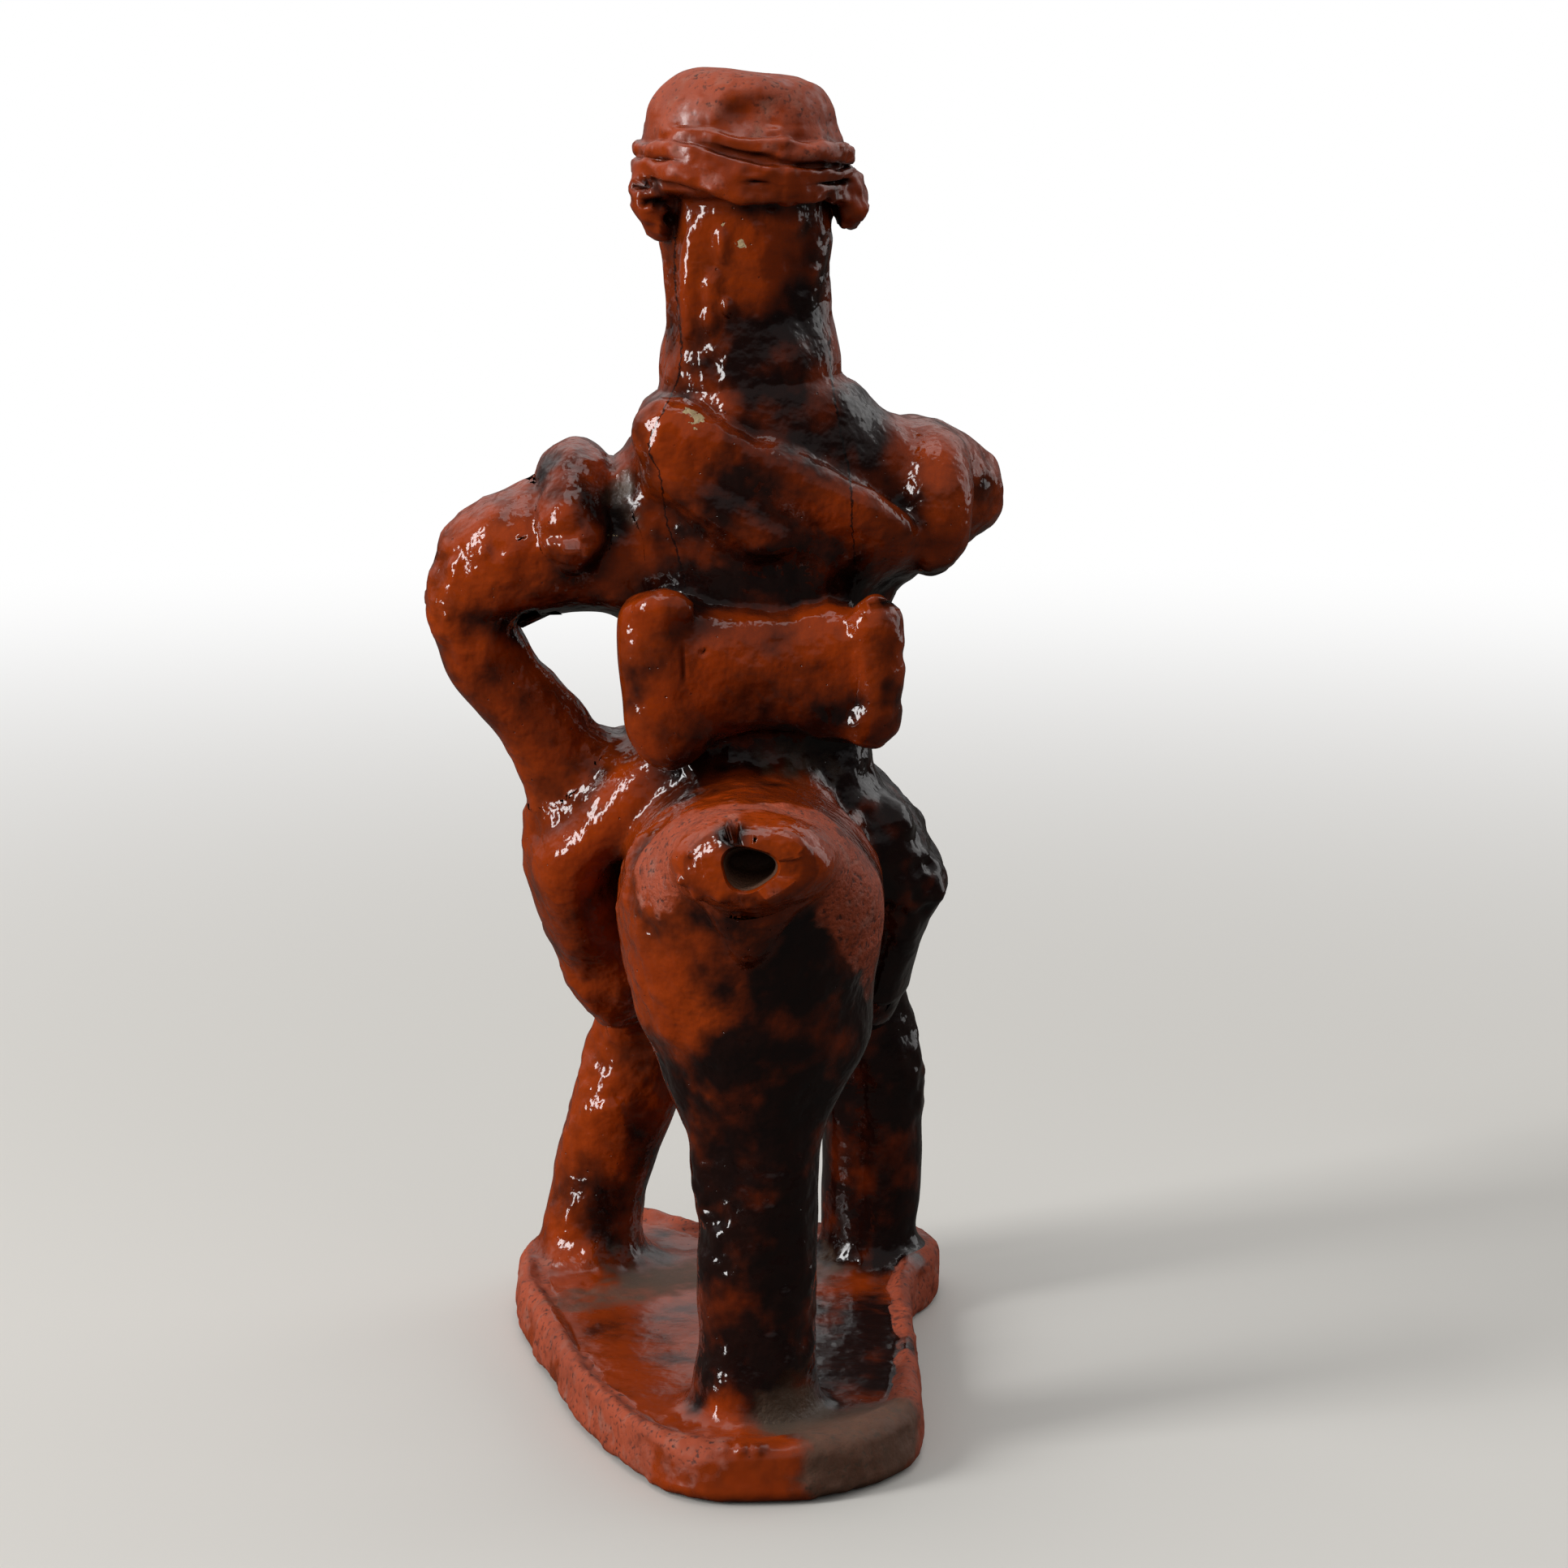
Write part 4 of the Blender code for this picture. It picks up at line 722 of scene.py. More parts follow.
blanketRoll = {
    "node": "blanket_roll", "dark": 0.7, "slot": "brown_glaze", "seam": 2.2, "closed": True,
    "side": np.array([0.45, 0.0, 0.89]), "lean": -27.0, "power": 2.4,
    "bumps": [  # the lump over the shoulder, and the fold that runs down along the lower edge
        (-10.4, -9.6, 132.4, 4.6, 3.4, 4.4, 2), (-10.2, -9.6, 126.6, 2.6, 1.8, 1.8, 3),
        (-6.6, -11, 124.8, 3, 1.9, 1.8, 3), (-3.4, -11.7, 122.6, 3, 2, 1.8, 3),
        (-0.4, -12, 120.4, 2.8, 2, 1.8, 3), (2.4, -11.9, 118.2, 2.4, 1.8, 1.7, 3),
        (3, -11.4, 128.2, 4.4, 1.7, 2.2, 3), (8, -11.4, 125.6, 4.4, 1.9, 2.4, 3),
        (12.6, -10.2, 122.8, 4.4, 2.2, 2.4, 3), (16.8, -7.6, 120, 4, 2.5, 2.6, 3),
    ],
    "path": [
        (-10.8, -8.4, 130.6, 5.7, 2.8, 3.2), (-3, -10, 126.4, 6.6, 2.4, 2.3),
        (9.3, -9.7, 119.8, 6.6, 2.4, 2.3), (18.4, -4.8, 115.8, 5.6, 2.8), (20.3, 6, 114.6, 5.2, 3.2, 3),
        (12.2, 15.3, 118.1, 5.5, 3.2, 3), (0, 16.8, 125.1, 5.5, 3.2, 3), (-10.4, 13.2, 130.6, 5, 3),
        (-12.2, 3.3, 131.4, 4.6, 2.8),
    ],
}
luteOn(blanketRoll)
knapsackPanel = {
    "node": "knapsack_panel", "dark": 0.25, "slot": "brown_glaze", "seam": 1.6, "side": yAxis, "power": 2.5,
    "ends": (0.3, 0.3),
    "path": [
        (-9, -10.8, 100.6, 5.9, 9.3, 8.6), (-2, -11, 100.8, 5.7, 8.2, 8.5), (4, -11, 100.8, 5.5, 8, 8.5),
        (13.4, -10.6, 101.2, 5, 10, 9),
    ],
    "dents": [(-8.6, -17.4, 103.2, 0.7, 1.8, 3.6, 0.8), (-6.1, -16.8, 104.6, 0.6, 0.9, 0.6, 0.4)],
}
luteOn(knapsackPanel)
knapsackLeftRoll = {
    "node": "knapsack_left_roll", "dark": 0.45, "slot": "brown_glaze", "seam": 3.4,
    "path": [
        (-12.6, -12.4, 110, 3.6, 2.6), (-12.6, -13, 108, 4.4, 3.4, 3.8), (-12.4, -13, 99, 4.4, 3.8, 3.9),
        (-11.6, -13.2, 95, 4.8, 4, 4.2), (-9.8, -13.2, 92, 4.8, 3.8, 4.2), (-9, -12.8, 90.6, 4, 3, 3.2),
    ],
    "bumps": [(-11, -16.2, 110.4, 3.4, 1.8, 1.9, 1.6)],
}
luteOn(knapsackLeftRoll)
knapsackRightRoll = {
    "node": "knapsack_right_roll", "dark": 0.35, "slot": "brown_glaze", "seam": 0.9,
    "path": [
        (15.6, -12.2, 109.6, 2.6, 2.4, 2.6), (16, -12.6, 108, 3.6, 3.4, 3.6),
        (16.4, -12.8, 100.5, 3.5, 3.6, 3.8), (15.8, -12.8, 95, 3.6, 3.5, 3.8),
        (15.2, -12.6, 92.6, 2.8, 2.6, 2.8),
    ],
}
luteOn(knapsackRightRoll)
leftArm = {
    "node": "left_arm", "dark": 0.12, "slot": "orange_glaze", "seam": 5.0, "side": yAxis, "bent": True,
    "lumpy": 1.25,
    "path": [
        (-16.3, 2, 116.8, 9), (-26, 1.2, 115.9, 9.4), (-32.4, 0.4, 114.6, 9), (-36.4, 0.3, 110.2, 7.7),
        (-36.9, 0.8, 104.6, 6.5), (-33.4, 1.4, 97.8, 6.1), (-28.2, 2.2, 92, 6.1), (-24.1, 4, 84, 6.3),
    ],
    "dents": [
        (-40.6, -2, 121.2, 0.5, 4, 1.6, 0.9), (-37.8, -2, 123.3, 0.5, 4, 1.5, 0.9),
        (-34.8, -2, 124.9, 0.5, 4, 1.4, 0.9), (-32, -2, 125.6, 0.5, 4, 1.3, 0.9),
        (-23.1, -4.2, 84.2, 1.3, 1.6, 0.9, 0.5), (-19.6, -2, 87.2, 1.2, 1.6, 0.8, 0.5),
        (-26.6, -4.8, 86, 0.5, 0.8, 1.4, 0.5), (-30.1, -7.6, 118.4, 0.5, 0.9, 0.6, 0.4),
    ],
}
luteOn(leftArm)
rightArm = {
    "node": "right_arm", "dark": 0.15, "slot": "orange_glaze", "seam": 4.0, "side": zAxis,
    "path": [
        (16.3, 2, 125, 8), (22.8, 11, 125.2, 7.8), (26.6, 18.5, 121.8, 7.8), (19.5, 29.5, 123.6, 6.2),
        (10.5, 37.4, 125, 5.7),
    ],
}
luteOn(rightArm)
epaulettes = {
    "left_epaulette": {
        "middle": (-23.4, 2.0, 117.0), "half": 4.8, "arch": 8.7, "dark": 0.6,
        "shares": ((-10, 0.6), (8, 0.95), (45, 1.0), (90, 1.0), (135, 1.0), (172, 0.95), (190, 0.6)),
    },
    "right_epaulette": {
        "middle": (23.9, 5.5, 119.8), "half": 5.6, "arch": 7.7, "dark": 0.3,
        "shares": (
            (-10, 0.6), (8, 0.95), (45, 1.0), (90, 1.0), (135, 1.0), (178, 0.95), (203, 0.85), (220, 0.55),
        ),
    },
}
for node, coil in epaulettes.items():
    x, y, z = coil["middle"]
    path = []
    for degrees, share in coil["shares"]:   # a coil bent over the shoulder in an arch
        turn = math.radians(degrees)
        out, rise = coil["arch"] * math.cos(turn), coil["arch"] * math.sin(turn)
        path.append((x, y + out, z + rise, share * coil["half"]))
    luteOn({"node": node, "dark": coil["dark"], "slot": "orange_glaze", "seam": 1.0, "path": path})
print("pieces laid out:", len(figure))


# Adds one node with its settings and its links or values, and gives the first of its outputs that is in use
def put(tree, kind, feeds=None, **settings):
    node = tree.nodes.new("ShaderNode" + kind)
    for name, value in settings.items():
        setattr(node, name, value)
    for socket, value in (feeds or {}).items():
        if isinstance(value, bpy.types.NodeSocket):
            tree.links.new(value, node.inputs[socket])
        else:
            node.inputs[socket].default_value = value
    return next(output for output in node.outputs if output.enabled)


glaze = {
    "clear": "#c04a0d", "thick": "#732203",       # clear lead glaze over red clay, thin and thick
    # manganese and deep also colour the painted shade and shadow that some dark dabs stand for
    "manganese_and_shade": "#260d07", "deep": "#0c0606",    # the same glaze where manganese was dabbed on
    "bare": "#ba4e28", "fired": "#8c3a1e",        # clay with little glaze left on it
    "dust": "#9c7466", "ash_and_sheen": "#584535", "chip": "#c0a67c",
    "tints": ("clear", "thick", "manganese_and_shade", "deep", "bare", "fired", "dust", "ash_and_sheen", "chip"),
    "cloud": 8.0, "mottle": 2.6, "ripple": 1.5, "speck": 1.1, "grit": 0.7,   # mm across each pattern
    "cloudSway": 2.2, "mottleSway": 0.65,         # how far the two push the painted dark about
    # where the dark, the bare clay and the ash start to show and where they are full
    "darkRange": (1.35, 2.45), "wearRange": (0.72, 0.98), "ashRange": (0.65, 1.2),
    "crackWide": (0.17, 0.06), "crackStray": 0.9, "relief": 0.5,   # mm
    "poolReach": 2.5, "poolFade": 2.2, "poolBias": 1.12,   # mm out from the skin, and how soon it ends
    "crackSpan": 40.0,   # mm of x that the curve of a crack can reach over
    # the two cracks: height, then x of the left and of the right one, in mm
    "crack": (
        (111.5, -9.0, 13.5), (116.5, -10.0, 13.2), (121, -11.5, 12.8), (127, -12.2, 12.5),
        (131, -13.6, 11.6), (134.5, -12.3, 11.0), (139.5, -9.9, 10.2), (154, -10.4, 9.9), (158, -10.2, 9.8),
    ),
}


# Lead glaze over hand-built red earthenware: glassy and clear brown where thin, black where manganese was
# dabbed on and where shade and shadow are painted, paler where light is painted, dull where it was rubbed
# off. The values dark, dry, dust, pool and chip on the points say where each is, and dust also lays a painted
# grey sheen on the waist. The eye gets a deep wet gloss with sharp small lights, and dry clay that has none.
def glazedClay(name, glossRough, dryRough, waves):
    material = bpy.data.materials.new(name)
    material.use_nodes = True
    tree = material.node_tree
    shader = tree.nodes["Principled BSDF"]
    place = put(tree, "TexCoord").node.outputs["Object"]
    value, noise = {}, {}
    for name in ("dark", "dry", "dust", "pool", "chip"):
        value[name] = put(tree, "Attribute", attribute_name=name).node.outputs["Fac"]
    for name, detail in (("cloud", 3.0), ("mottle", 2.5), ("grit", 3.0), ("ripple", 1.5)):
        scale = 1 / (glaze[name] * mm)
        noise[name] = put(tree, "TexNoise", {"Vector": place, "Scale": scale, "Detail": detail})
    cloud, mottle, grit, ripple = noise.values()
    tint = {name: linear(glaze[name]) for name in glaze["tints"]}
    eased = {"interpolation_type": "SMOOTHSTEP"}
    # dark glaze and painted shade: the painted value pushed about by the clouds and the mottling
    sway = put(tree, "Math", {0: cloud, 1: glaze["cloudSway"], 2: value["dark"]}, operation="MULTIPLY_ADD")
    sway = put(tree, "Math", {0: mottle, 1: glaze["mottleSway"], 2: sway}, operation="MULTIPLY_ADD")
    low, high = glaze["darkRange"]
    dark = put(tree, "MapRange", {0: sway, 1: low, 2: high}, **eased)
    clear = put(tree, "Mix", {0: cloud, 6: tint["thick"], 7: tint["clear"]}, data_type="RGBA")
    black = put(tree, "Mix", {0: mottle, 6: tint["deep"], 7: tint["manganese_and_shade"]}, data_type="RGBA")
    # pinhole specks of iron in the clear glaze: near the middles of cells, in some cells larger
    cells = put(tree, "TexVoronoi", {"Vector": place, "Scale": 1 / (glaze["speck"] * mm)})
    speck = put(tree, "SeparateColor", {0: cells.node.outputs["Color"]})
    speck = put(tree, "MapRange", {0: speck, 1: 0.0, 2: 0.3, 3: 0.0, 4: 0.25})
    speck = put(tree, "Math", {0: cells, 1: speck}, operation="ADD")
    dots = put(tree, "MapRange", {0: speck, 1: 0.20, 2: 0.10}, **eased)
    dots = put(tree, "Math", {0: dots, 1: 0.45}, operation="MULTIPLY")
    pool = put(tree, "Math", {0: value["pool"], 1: 0.9}, operation="MULTIPLY")
    # bare clay, greyed by the smoke, with dark pits and scars
    wear = put(tree, "Math", {0: mottle, 1: 0.7, 2: value["dry"]}, operation="MULTIPLY_ADD")
    low, high = glaze["wearRange"]
    wear = put(tree, "MapRange", {0: wear, 1: low, 2: high}, **eased)
    grey = put(tree, "MapRange", {0: mottle, 1: 0.56, 2: 0.74})
    grey = put(tree, "Math", {0: grey, 1: 0.4}, operation="MULTIPLY")
    pit = put(tree, "MapRange", {0: grit, 1: 0.44, 2: 0.32, 4: 0.8})
    scar = put(tree, "MapRange", {0: mottle, 1: 0.40, 2: 0.28, 4: 0.7})
    pit = put(tree, "Math", {0: pit, 1: scar}, operation="MAXIMUM")
    earth = put(tree, "Mix", {0: cloud, 6: tint["fired"], 7: tint["bare"]}, data_type="RGBA")
    for share, coat in ((grey, "dust"), (pit, "manganese_and_shade"), (pool, "manganese_and_shade")):
        earth = put(tree, "Mix", {0: share, 6: earth, 7: tint[coat]}, data_type="RGBA")
    # hairline cracks down both sides of the back: nearness to a line whose x is read from the height
    x, y, z = put(tree, "SeparateXYZ", {0: place}).node.outputs
    low, high, span = glaze["crack"][0][0], glaze["crack"][-1][0], glaze["crackSpan"]
    rise = put(tree, "MapRange", {0: z, 1: low * mm, 2: high * mm})
    back = put(tree, "MapRange", {0: y, 1: 0.0, 2: -2 * mm})
    hairs = []
    for side in (1, 2):
        bend = put(tree, "FloatCurve", {1: rise})
        line = bend.node.mapping.curves[0].points
        for row in glaze["crack"][1:-1]:
            line.new((row[0] - low) / (high - low), 0.5 + row[side] / span)
        line[0].location = (0.0, 0.5 + glaze["crack"][0][side] / span)
        line[len(line) - 1].location = (1.0, 0.5 + glaze["crack"][-1][side] / span)
        bend.node.mapping.update()
        run = put(tree, "MapRange", {0: bend, 3: -span / 2 * mm, 4: span / 2 * mm})
        run = put(tree, "Math", {0: grit, 1: glaze["crackStray"] * mm, 2: run}, operation="MULTIPLY_ADD")
        gap = put(tree, "Math", {0: x, 1: run}, operation="SUBTRACT")
        gap = put(tree, "Math", {0: gap}, operation="ABSOLUTE")
        wide, thin = glaze["crackWide"]
        hair = put(tree, "MapRange", {0: gap, 1: wide * mm, 2: thin * mm, 4: 0.85})
        within = put(tree, "Math", {0: rise, 1: 0.5, 2: 0.49}, operation="COMPARE")
        hair = put(tree, "Math", {0: hair, 1: within}, operation="MULTIPLY")
        hairs.append(put(tree, "Math", {0: hair, 1: back}, operation="MULTIPLY"))
    # dust and kiln ash that lie in the hollows, a painted grey sheen on the waist,
    # and flakes where the glaze chipped off
    ash_and_sheen = put(tree, "Math", {0: mottle, 1: 0.8, 2: value["dust"]}, operation="MULTIPLY_ADD")
    low, high = glaze["ashRange"]
    ash_and_sheen = put(tree, "MapRange", {0: ash_and_sheen, 1: low, 2: high, 4: 0.85}, **eased)
    flake = put(tree, "Math", {0: grit, 1: 1.4, 2: value["chip"]}, operation="MULTIPLY_ADD")
    flake = put(tree, "MapRange", {0: flake, 1: 1.25, 2: 1.3})
    # every coat hides those under it by its share
    coats = [(dark, black), (dots, tint["manganese_and_shade"]), (pool, tint["deep"]), (wear, earth)]
    coats += [(hair, tint["deep"]) for hair in hairs] + [(ash_and_sheen, tint["ash_and_sheen"]), (flake, tint["chip"])]
    colour = clear
    for share, coat in coats:
        colour = put(tree, "Mix", {0: share, 6: colour, 7: coat}, data_type="RGBA")
    tree.links.new(colour, shader.inputs["Base Color"])
    bare = put(tree, "Math", {0: wear, 1: flake}, operation="MAXIMUM")
    bare = put(tree, "Math", {0: bare, 1: ash_and_sheen}, operation="MAXIMUM")
    rough = put(tree, "MapRange", {0: bare, 3: glossRough, 4: dryRough})
    rough = put(tree, "Math", {0: grit, 1: 0.10, 2: rough}, operation="MULTIPLY_ADD")
    tree.links.new(rough, shader.inputs["Roughness"])
    # relief: orange peel and pinholes in the glaze, grit in the clay
    peel = put(tree, "Math", {0: dots, 1: -0.6, 2: mottle}, operation="MULTIPLY_ADD")
    peel = put(tree, "Math", {0: ripple, 1: 0.6, 2: peel}, operation="MULTIPLY_ADD")
    grain = put(tree, "Mix", {0: bare, 2: peel, 3: grit})
    bump = put(tree, "Bump", {"Strength": waves, "Distance": glaze["relief"] * mm, "Height": grain})
    tree.links.new(bump, shader.inputs["Normal"])
    shader.inputs["IOR"].default_value = 1.5
    return material


# Each finish has its roughness where glassy and where bare, and how strongly its surface ripples
finishes = {
    # thin and wet, so that the red clay glows through
    "orange_glaze": glazedClay("clear_lead_glaze_on_red_earthenware", 0.07, 0.62, 0.75),
    # thicker, amber where it thins over an edge
    "brown_glaze": glazedClay("brown_lead_glaze_on_red_earthenware", 0.06, 0.60, 0.65),
    # close to black glass, with small sharp lights
    "dark_glaze": glazedClay("manganese_lead_glaze_on_red_earthenware", 0.05, 0.55, 0.4),
    # matt and dusty, with a low sheen on its lumps
    "dull_clay": glazedClay("wood_fired_red_earthenware", 0.18, 0.70, 0.25),
}
print("glazes mixed:", ", ".join(finishes))

# Where the glaze was dabbed dark, rubbed dry and so on, and some painted shade, shadow, light and sheen:
# x, y, z and radius in mm, and how much, up to 1
dabs = {
    "dark": [
        (2, -9.5, 144, 6, 0.5), (5, -8, 140, 6, 0.5), (-2, -9.5, 139, 5, 0.4), (8, -6, 149, 5, 0.45),
        (10, -4, 156, 4, 0.35), (-8, -6, 147, 4, 0.35), (0, -9, 155, 7, -0.6), (-8, -6, 153, 6, -0.3),
        (-1.9, -53, 87.4, 1.5, 1.6), (-1, -12.5, 128, 5, 0.35), (3, -12.5, 124, 5, 0.35),
        (6, -12, 118, 6, 0.4), (12, -10, 115, 6, 0.35), (-3, -12, 114, 7, 0.35),
        (-9.5, -12, 132.5, 5.5, -0.75), (11, -13, 124.6, 3.6, -0.75), (16, -10, 120.5, 4, -0.75),
        (1.2, -14, 119.6, 2.2, -0.5), (-1, -14, 121.4, 1.8, -0.4), (6, -13, 127.4, 2.4, -0.35),
        (19, -7, 117.5, 4, -0.5), (12, -4, 158, 4, 0.4), (-20, -5, 121, 5, 0.7), (-22, -6, 116, 4, 0.5),
        (-22, -4, 111, 6, 0.5), (-28, -3, 108, 5, 0.45), (-33, -2, 105, 4, 0.4), (-14, 0, 107, 9, 0.6),
        (24, 1, 113, 4.5, 0.6), (2, -15, 93.5, 6, 0.5), (10, -15, 93.5, 5, 0.5), (-8, -16, 89, 5, 0.3),
        # painted shade: (10, -38, 62) and (14, -34, 56) darken the rump's lower right, with manganese
        (-12, -15, 104, 4, 0.25), (5, -16, 103, 5, -0.2), (10, -38, 62, 12, 0.7), (14, -34, 56, 12, 0.5),
        # painted shadow under the mouthpiece: (4, -43, 70), (2, -44, 74), (7, -42, 74) and (5, -42, 64)
        (4, -43, 70, 6, 0.45), (-14, -30, 66, 9, -0.3), (-6, -42, 68.5, 2.6, 0.5), (2, -44, 74, 4, 0.3),
        (7, -42, 74, 4, 0.35), (-11, -38, 62, 2.2, 0.45), (-6, -40, 60, 5, -0.55), (-9, -40, 71, 1.8, 0.4),
        (-12, -37, 69, 1.6, 0.35), (5, -42, 64, 5, 0.35), (-28, 0, 94, 7, -0.1), (-31, -4, 96, 2.2, 0.4),
        (-27, -4, 90, 1.8, 0.4), (-35, -5, 99, 2.5, 0.4), (-38, 0, 103, 5, 0.35), (-34, -5, 107, 2.5, 0.3),
        (-30, -6, 103, 2, -0.2), (-27, 2, 62, 5, -0.2), (-25, -3, 74, 2.2, 0.35), (-21, -3, 69, 2, 0.4),
        (6, -15, 108, 4, -0.35), (17, 7, 7, 7, 0.6), (-8, -38, 52, 7, -0.8), (-5, -38, 46, 5, -0.7),
        (-8, -33, 22, 3, -0.9), (-8.5, -33, 12, 3.5, -1), (-3, -38, 8, 4, -0.9), (13, -8, 7, 13, 0.9),
        (14, -21, 7, 9, 0.8), (12, 6, 7, 9, 0.6), (-18, 30, 7, 8, 0.5), (-8, 8, 7, 9, 0.25),
        # painted shade on the inner, right side of the left foreleg: (-10, 28, 40), (-14, 27, 26), (-17, 27,
        # 14)
        (6, -38, 54, 9, 0.2), (-10, 28, 40, 8, 0.7), (-14, 27, 26, 7, 0.8), (-17, 27, 14, 7, 0.7),
        (-13, 14, 62, 6, 0.5), (-13, 0, 82, 6, 0.8), (-28, 4, 70, 4, 0.3), (-27, 8, 62, 3, 0.3),
        # painted light on the left, lit side of the right foreleg: (12, 28, 45) and (11, 27, 36)
        (12, 28, 45, 6, -0.6), (11, 27, 36, 6, -0.5), (20, 24, 120, 6, -0.3), (24, 3, 113, 5, 0.5),
        (-25, -4, 116, 4, 0.3),
    ],
    "dry": [
        (-13, -38, 80, 8, 0.6), (-6, -44, 88, 8, 0.5), (6, -40, 88, 8, 0.3), (15, -36, 82, 7, 0.7),
        (14, -40, 76, 5, 0.5), (0, -53, 80, 5, 0.2), (14.5, -40, 80, 8, 0.5), (16, -36, 72, 6, 0.8),
        (16.5, -32, 64, 4, 0.6),
    ],
    # where no glaze ran together
    "swept": [(0, -50, 83, 13, 0.85), (4, -12, 89, 8, 0.5), (1, -46, 6.5, 7, 0.95)],
    "dust": [
        (1.8, -10, 174, 4, 0.4), (1, 2, 179.4, 7, 0.35), (16, -42, 6, 10, 0.9), (20, -34, 7, 6, 0.6),
        (10, -38, 7, 6, 0.7), (14, -47, 4, 7, 0.7), (3, -38, 7.5, 3.5, 0.8), (-14, 22, 7.5, 9, 0.6),
        (-4, 26, 7.5, 8, 0.7), (-10, -6, 7.5, 6, 0.3), (-20, 14, 7, 8, 0.4), (-27, 10, 7, 6, 0.35),
        # painted grey sheen on the dark glaze of the waist: (4, -12, 89.5) and (10, -10, 88)
        (9, 26, 7.5, 7, 0.5), (4, -12, 89.5, 6, 0.4), (10, -10, 88, 5, 0.4), (-17, -4, 125, 3.5, 0.7),
        (-15, -8, 120, 3, 0.4),
    ],
    "chip": [
        (-1.3, -9.3, 156.8, 0.9, 0.9), (-3.6, -9.2, 159.4, 0.6, 0.8), (-6.9, -13.2, 134.4, 1.3, 1),
        (-8.4, -12.8, 135.9, 0.8, 0.8), (-7.6, -13.4, 132.8, 0.7, 0.8), (-23.7, -6.5, 125.2, 1.1, 1),
        (-23.2, -7, 122.9, 0.8, 0.9), (-15.3, -9, 125.7, 0.9, 0.9), (-13.5, -10, 121.2, 1.1, 1),
        (-18, -7, 118.8, 0.8, 0.9), (-16, -8.2, 119.6, 0.7, 0.8),
    ],
}


# The rim of the slab, where the glaze was wiped off before it stood in the kiln: from a ragged share of the
# way out it rises to a full rub, less what the cloth missed
def wipedRim(points):
    flat = points[:, :2] - np.array(baseSlab["middle"])
    share = np.linalg.norm(flat, axis=1) / slabReach(np.arctan2(flat[:, 1], flat[:, 0]))
    edge = share + 0.05 * latticeNoise(points, 9.0, 11) + 0.02 * latticeNoise(points, 3.0, 12)
    left = np.clip(0.8 + 0.6 * latticeNoise(points, 8.0, 13), 0.35, 1)   # the cloth missed some streaks
    return np.clip((edge - 0.84) / 0.03, 0, 1) * 0.8 * left * (1 - dabbed(points, baseSlab["run"]))


baseSlab["rubbed"] = wipedRim


# A soft dab: its amount times e to the power of minus the distance squared over the radius squared
def dabbed(points, rows):
    total = np.zeros(len(points))
    for x, y, z, radius, amount in rows:
        total += amount * np.exp(-((points - (x, y, z)) ** 2).sum(axis=1) / radius ** 2)
    return total


# One piece made ready: its points on the finished skin, faces, normals and glaze values
def shaped(piece):
    points, faces = piece.get("grid", pieceGrid)(piece)
    points = settle(piece, points, pointNormals(points, faces))
    points[:, 2] = np.maximum(points[:, 2], 0)
    normals = skinNormals(piece, points)
    free = piece.get("settled", len(points))
    normals[free:] = pointNormals(points, faces)[free:]
    behind, tone = clayAt(piece, points)[1:]
    relief = handled(piece, points, behind)
    hollow = clayAt(piece, points + normals * glaze["poolReach"])[0]
    pool = np.clip(glaze["poolBias"] - hollow / glaze["poolFade"], 0, 1)
    values = {
        "dark": tone[:, 0] - 0.35 * relief + dabbed(points, dabs["dark"]),
        "dry": tone[:, 1] + 0.2 * relief + dabbed(points, dabs["dry"]),
        "dust": dabbed(points, dabs["dust"]),
        "pool": pool * (1 - dabbed(points, dabs["swept"])),
        "chip": dabbed(points, dabs["chip"]),
    }
    if "rubbed" in piece:
        values["dry"] += piece["rubbed"](points)
    if "soot" in piece:   # dull inside the windway
        values["dust"][free + piece["cleanRings"] * piece["sides"]:] += piece["soot"]
    return points, faces, normals, values


with ThreadPoolExecutor() as hands:
    skins = list(hands.map(shaped, figure))
triangles = 0
for piece, (points, faces, normals, values) in zip(figure, skins):
    mesh = bpy.data.meshes.new(piece["node"] + "_clay")
    mesh.from_pydata((points * mm).tolist(), [], faces)
    mesh.update()
    mesh.shade_smooth()
    mesh.normals_split_custom_set_from_vertices(normals.tolist())
    for name, amounts in values.items():
        layer = mesh.attributes.new(name, "FLOAT", "POINT")
        layer.data.foreach_set("value", np.ascontiguousarray(np.clip(amounts, 0, 1), dtype=np.float32))
    ob = bpy.data.objects.new(piece["node"] + "_clay", mesh)
    bpy.context.scene.collection.objects.link(ob)
    mesh.materials.append(finishes[piece["slot"]])
    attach(ob, "root")
    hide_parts(piece["node"])
    triangles += sum(len(face) - 2 for face in faces)
print("clay shaped and glazed:", len(figure), "pieces,", triangles, "triangles")

# Camera: behind and a little above, as far off as the photograph's perspective shows
photo = {"size": 1932, "focal": 4674, "from": (4.4, -505.0, 179.65), "down": 10.734}
camera = bpy.data.cameras.new("camera")
camera.sensor_width = 36.0
camera.lens = camera.sensor_width * photo["focal"] / photo["size"]
cameraOb = bpy.data.objects.new("camera", camera)
cameraOb.location = [v * mm for v in photo["from"]]
cameraOb.rotation_euler = (math.radians(90 - photo["down"]), 0, 0)
bpy.context.scene.collection.objects.link(cameraOb)
bpy.context.scene.camera = cameraOb

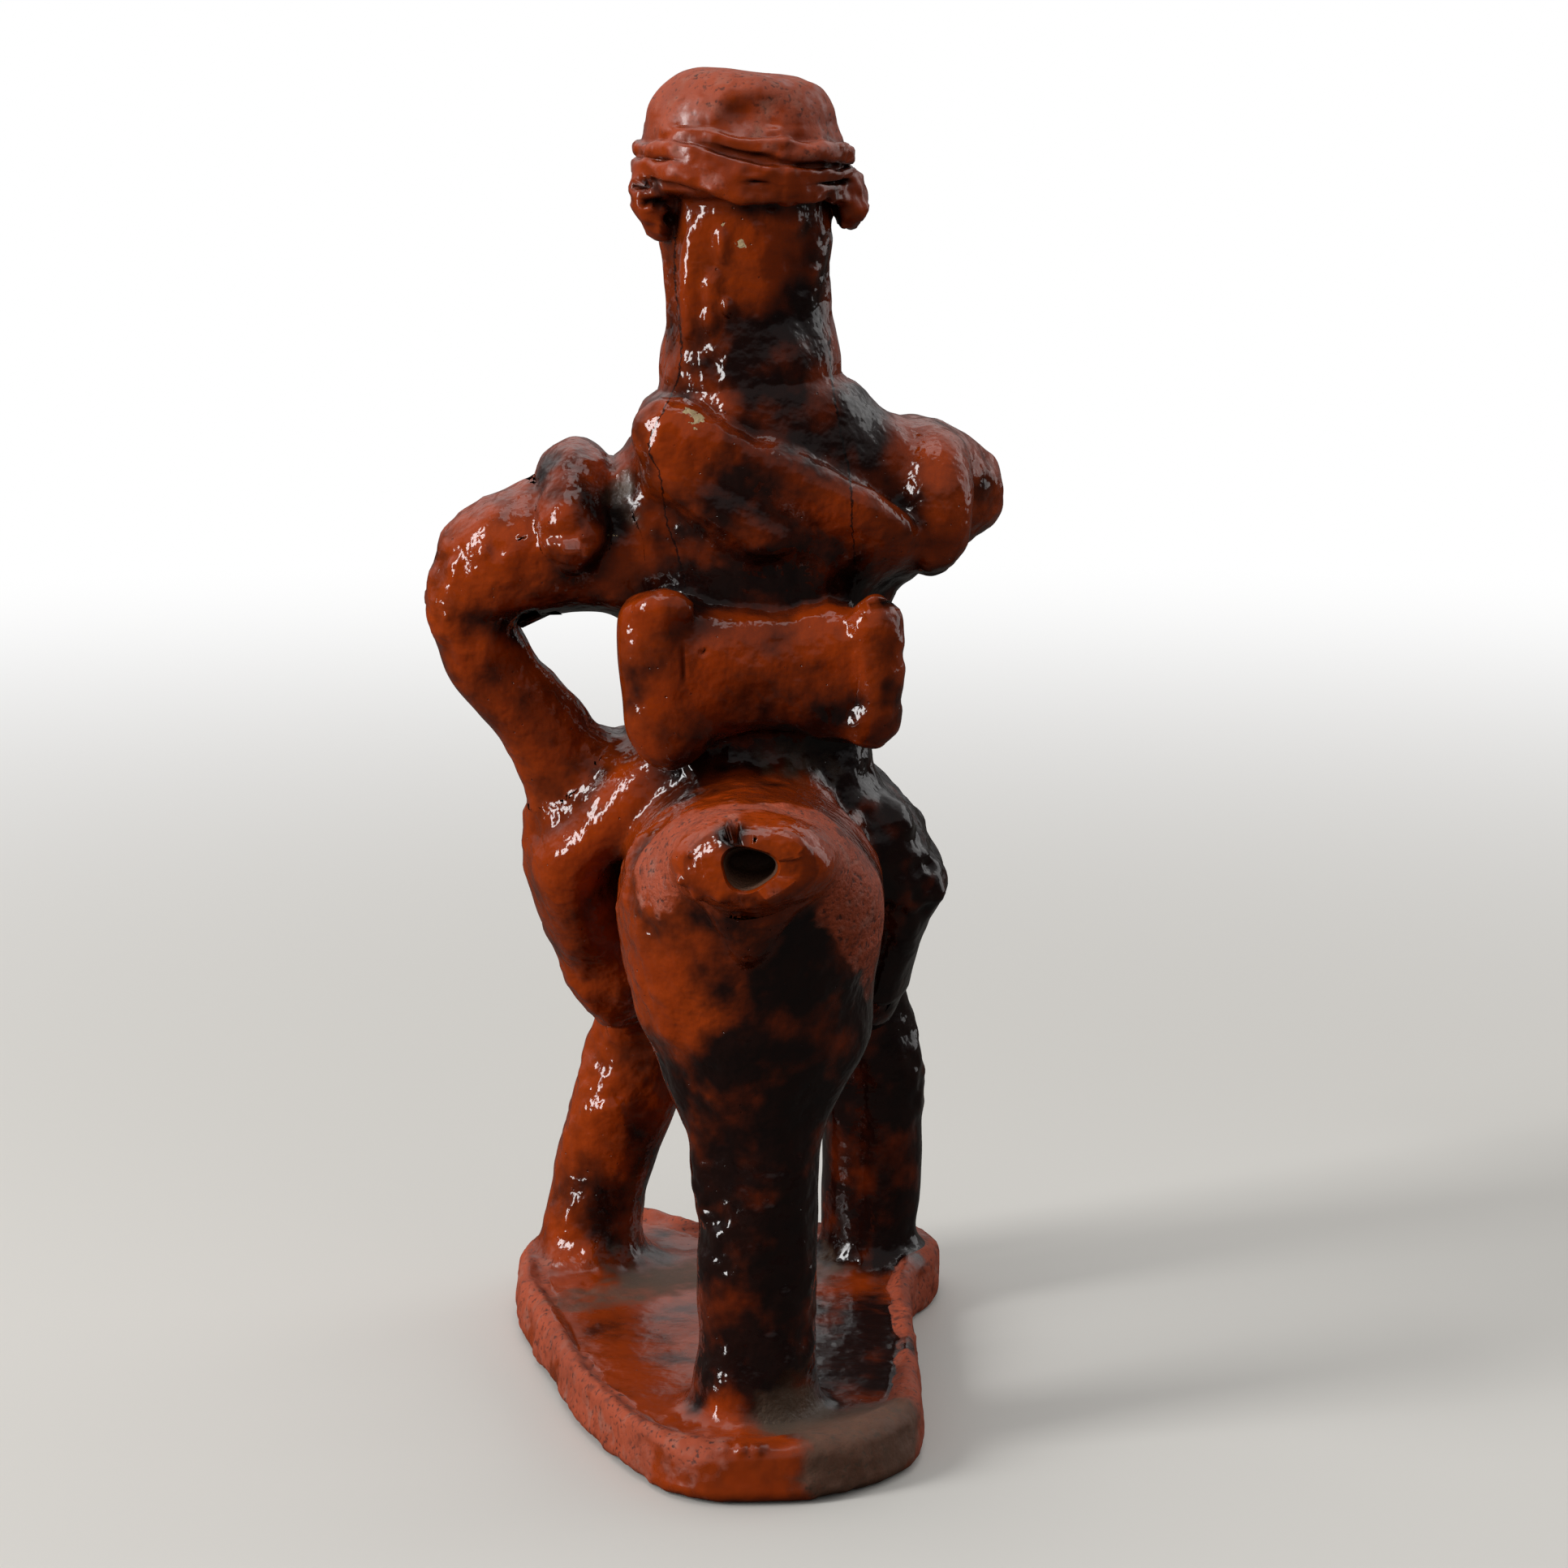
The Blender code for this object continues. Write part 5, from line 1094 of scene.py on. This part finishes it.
studio = {
    "aim": (0, 0, 0.09),   # m, the middle of the figure
    # name: place and size in m, watts, and whether the glaze mirrors it
    "lamps": {
        "window_left": ((-1.05, -0.45, 0.55), (0.28, 0.9), 12, True),
        "window_right": ((1.3, 0.7, 0.6), (0.8, 1.2), 2.5, True),
        "fill_right": ((1.2, -0.9, 0.7), (2.2, 2.2), 2.5, False),
        "top": ((-0.1, 0.0, 1.2), (0.7, 0.7), 2.2, True),
        "front_high": ((0.2, -1.3, 1.0), (2.4, 1.4), 4, False),
    },
    "sky": (0.2, 0.8),        # strength of the room on the camera's side and behind the figure
    "horizon": (0.2, 1.0),    # share of it low down and high up
    "floor": "#dcd9d3", "floorSeen": "#4a4845",   # to the camera, and to the glaze so that it shows no veil
    "floorSize": (3, -0.0003),   # m, half its width and its height
    "white": (0.15, 0.9),     # m from the figure where the floor starts to turn white and where it ends
}
for name, (place, size, watts, mirrored) in studio["lamps"].items():
    lamp = bpy.data.lights.new(name, "AREA")
    lamp.shape = "RECTANGLE"
    lamp.size, lamp.size_y = size
    lamp.energy = watts
    lampOb = bpy.data.objects.new(name, lamp)
    lampOb.location = place
    away = np.array(place) - np.array(studio["aim"])
    yaw = math.atan2(away[1], away[0]) + math.pi / 2
    pitch = math.atan2(math.hypot(away[0], away[1]), away[2])
    lampOb.rotation_euler = (pitch, 0, yaw)
    lampOb.visible_glossy = mirrored   # a broad fill that isn't mirrored leaves no grey patch in the glaze
    bpy.context.scene.collection.objects.link(lampOb)

# White to the camera; to the glaze it is bright behind the figure and dim on the camera's side
world = bpy.data.worlds.new("studio")
bpy.context.scene.world = world
world.use_nodes = True
tree = world.node_tree
soft = tree.nodes["Background"]
soft.inputs["Color"].default_value = (1, 1, 1, 1)
heading, height = put(tree, "SeparateXYZ", {0: put(tree, "TexCoord")}).node.outputs[1:]
eased = {"interpolation_type": "SMOOTHSTEP"}
near, behind = studio["sky"]
sweep = put(tree, "MapRange", {0: heading, 1: -0.3, 2: 0.7, 3: near, 4: behind}, **eased)
low, high = studio["horizon"]
lift = put(tree, "MapRange", {0: height, 1: 0.15, 2: 0.5, 3: low, 4: high}, **eased)
sweep = put(tree, "Math", {0: sweep, 1: lift}, operation="MULTIPLY")
tree.links.new(sweep, soft.inputs["Strength"])
white = put(tree, "Background", {"Color": (1, 1, 1, 1), "Strength": 1.0})
both = put(tree, "MixShader", {0: put(tree, "LightPath"), 1: soft.outputs[0], 2: white})
tree.links.new(both, tree.nodes["World Output"].inputs["Surface"])

# Pale floor that keeps the shadow near the figure and turns to the white of the backdrop further off
floorMesh = bpy.data.meshes.new("floor")
half, drop = studio["floorSize"]
corners = [(x * half, y * half, drop) for x, y in ((-1, -1), (1, -1), (1, 1), (-1, 1))]
floorMesh.from_pydata(corners, [], [(0, 1, 2, 3)])
floor = bpy.data.objects.new("floor", floorMesh)
bpy.context.scene.collection.objects.link(floor)
floorPaint = bpy.data.materials.new("pale_floor")
floorPaint.use_nodes = True
tree = floorPaint.node_tree
paper = tree.nodes["Principled BSDF"]
paper.inputs["Base Color"].default_value = linear(studio["floor"])
paper.inputs["Roughness"].default_value = 0.6
place = put(tree, "TexCoord").node.outputs["Object"]
distance = put(tree, "VectorMath", {0: place}, operation="LENGTH")
low, high = studio["white"]
far = put(tree, "MapRange", {0: distance, 1: low, 2: high}, **eased)
seen = put(tree, "LightPath")
far = put(tree, "Math", {0: far, 1: seen}, operation="MULTIPLY")
backdrop = put(tree, "Emission", {"Color": (1, 1, 1, 1), "Strength": 1.0})
pale = put(tree, "MixShader", {0: far, 1: paper.outputs[0], 2: backdrop})
dim = put(tree, "BsdfDiffuse", {"Color": linear(studio["floorSeen"])})
both = put(tree, "MixShader", {0: seen, 1: dim, 2: pale})
tree.links.new(both, tree.nodes["Material Output"].inputs["Surface"])
floorMesh.materials.append(floorPaint)

bpy.context.scene.view_settings.view_transform = "Standard"
print("camera, lamps and floor set")
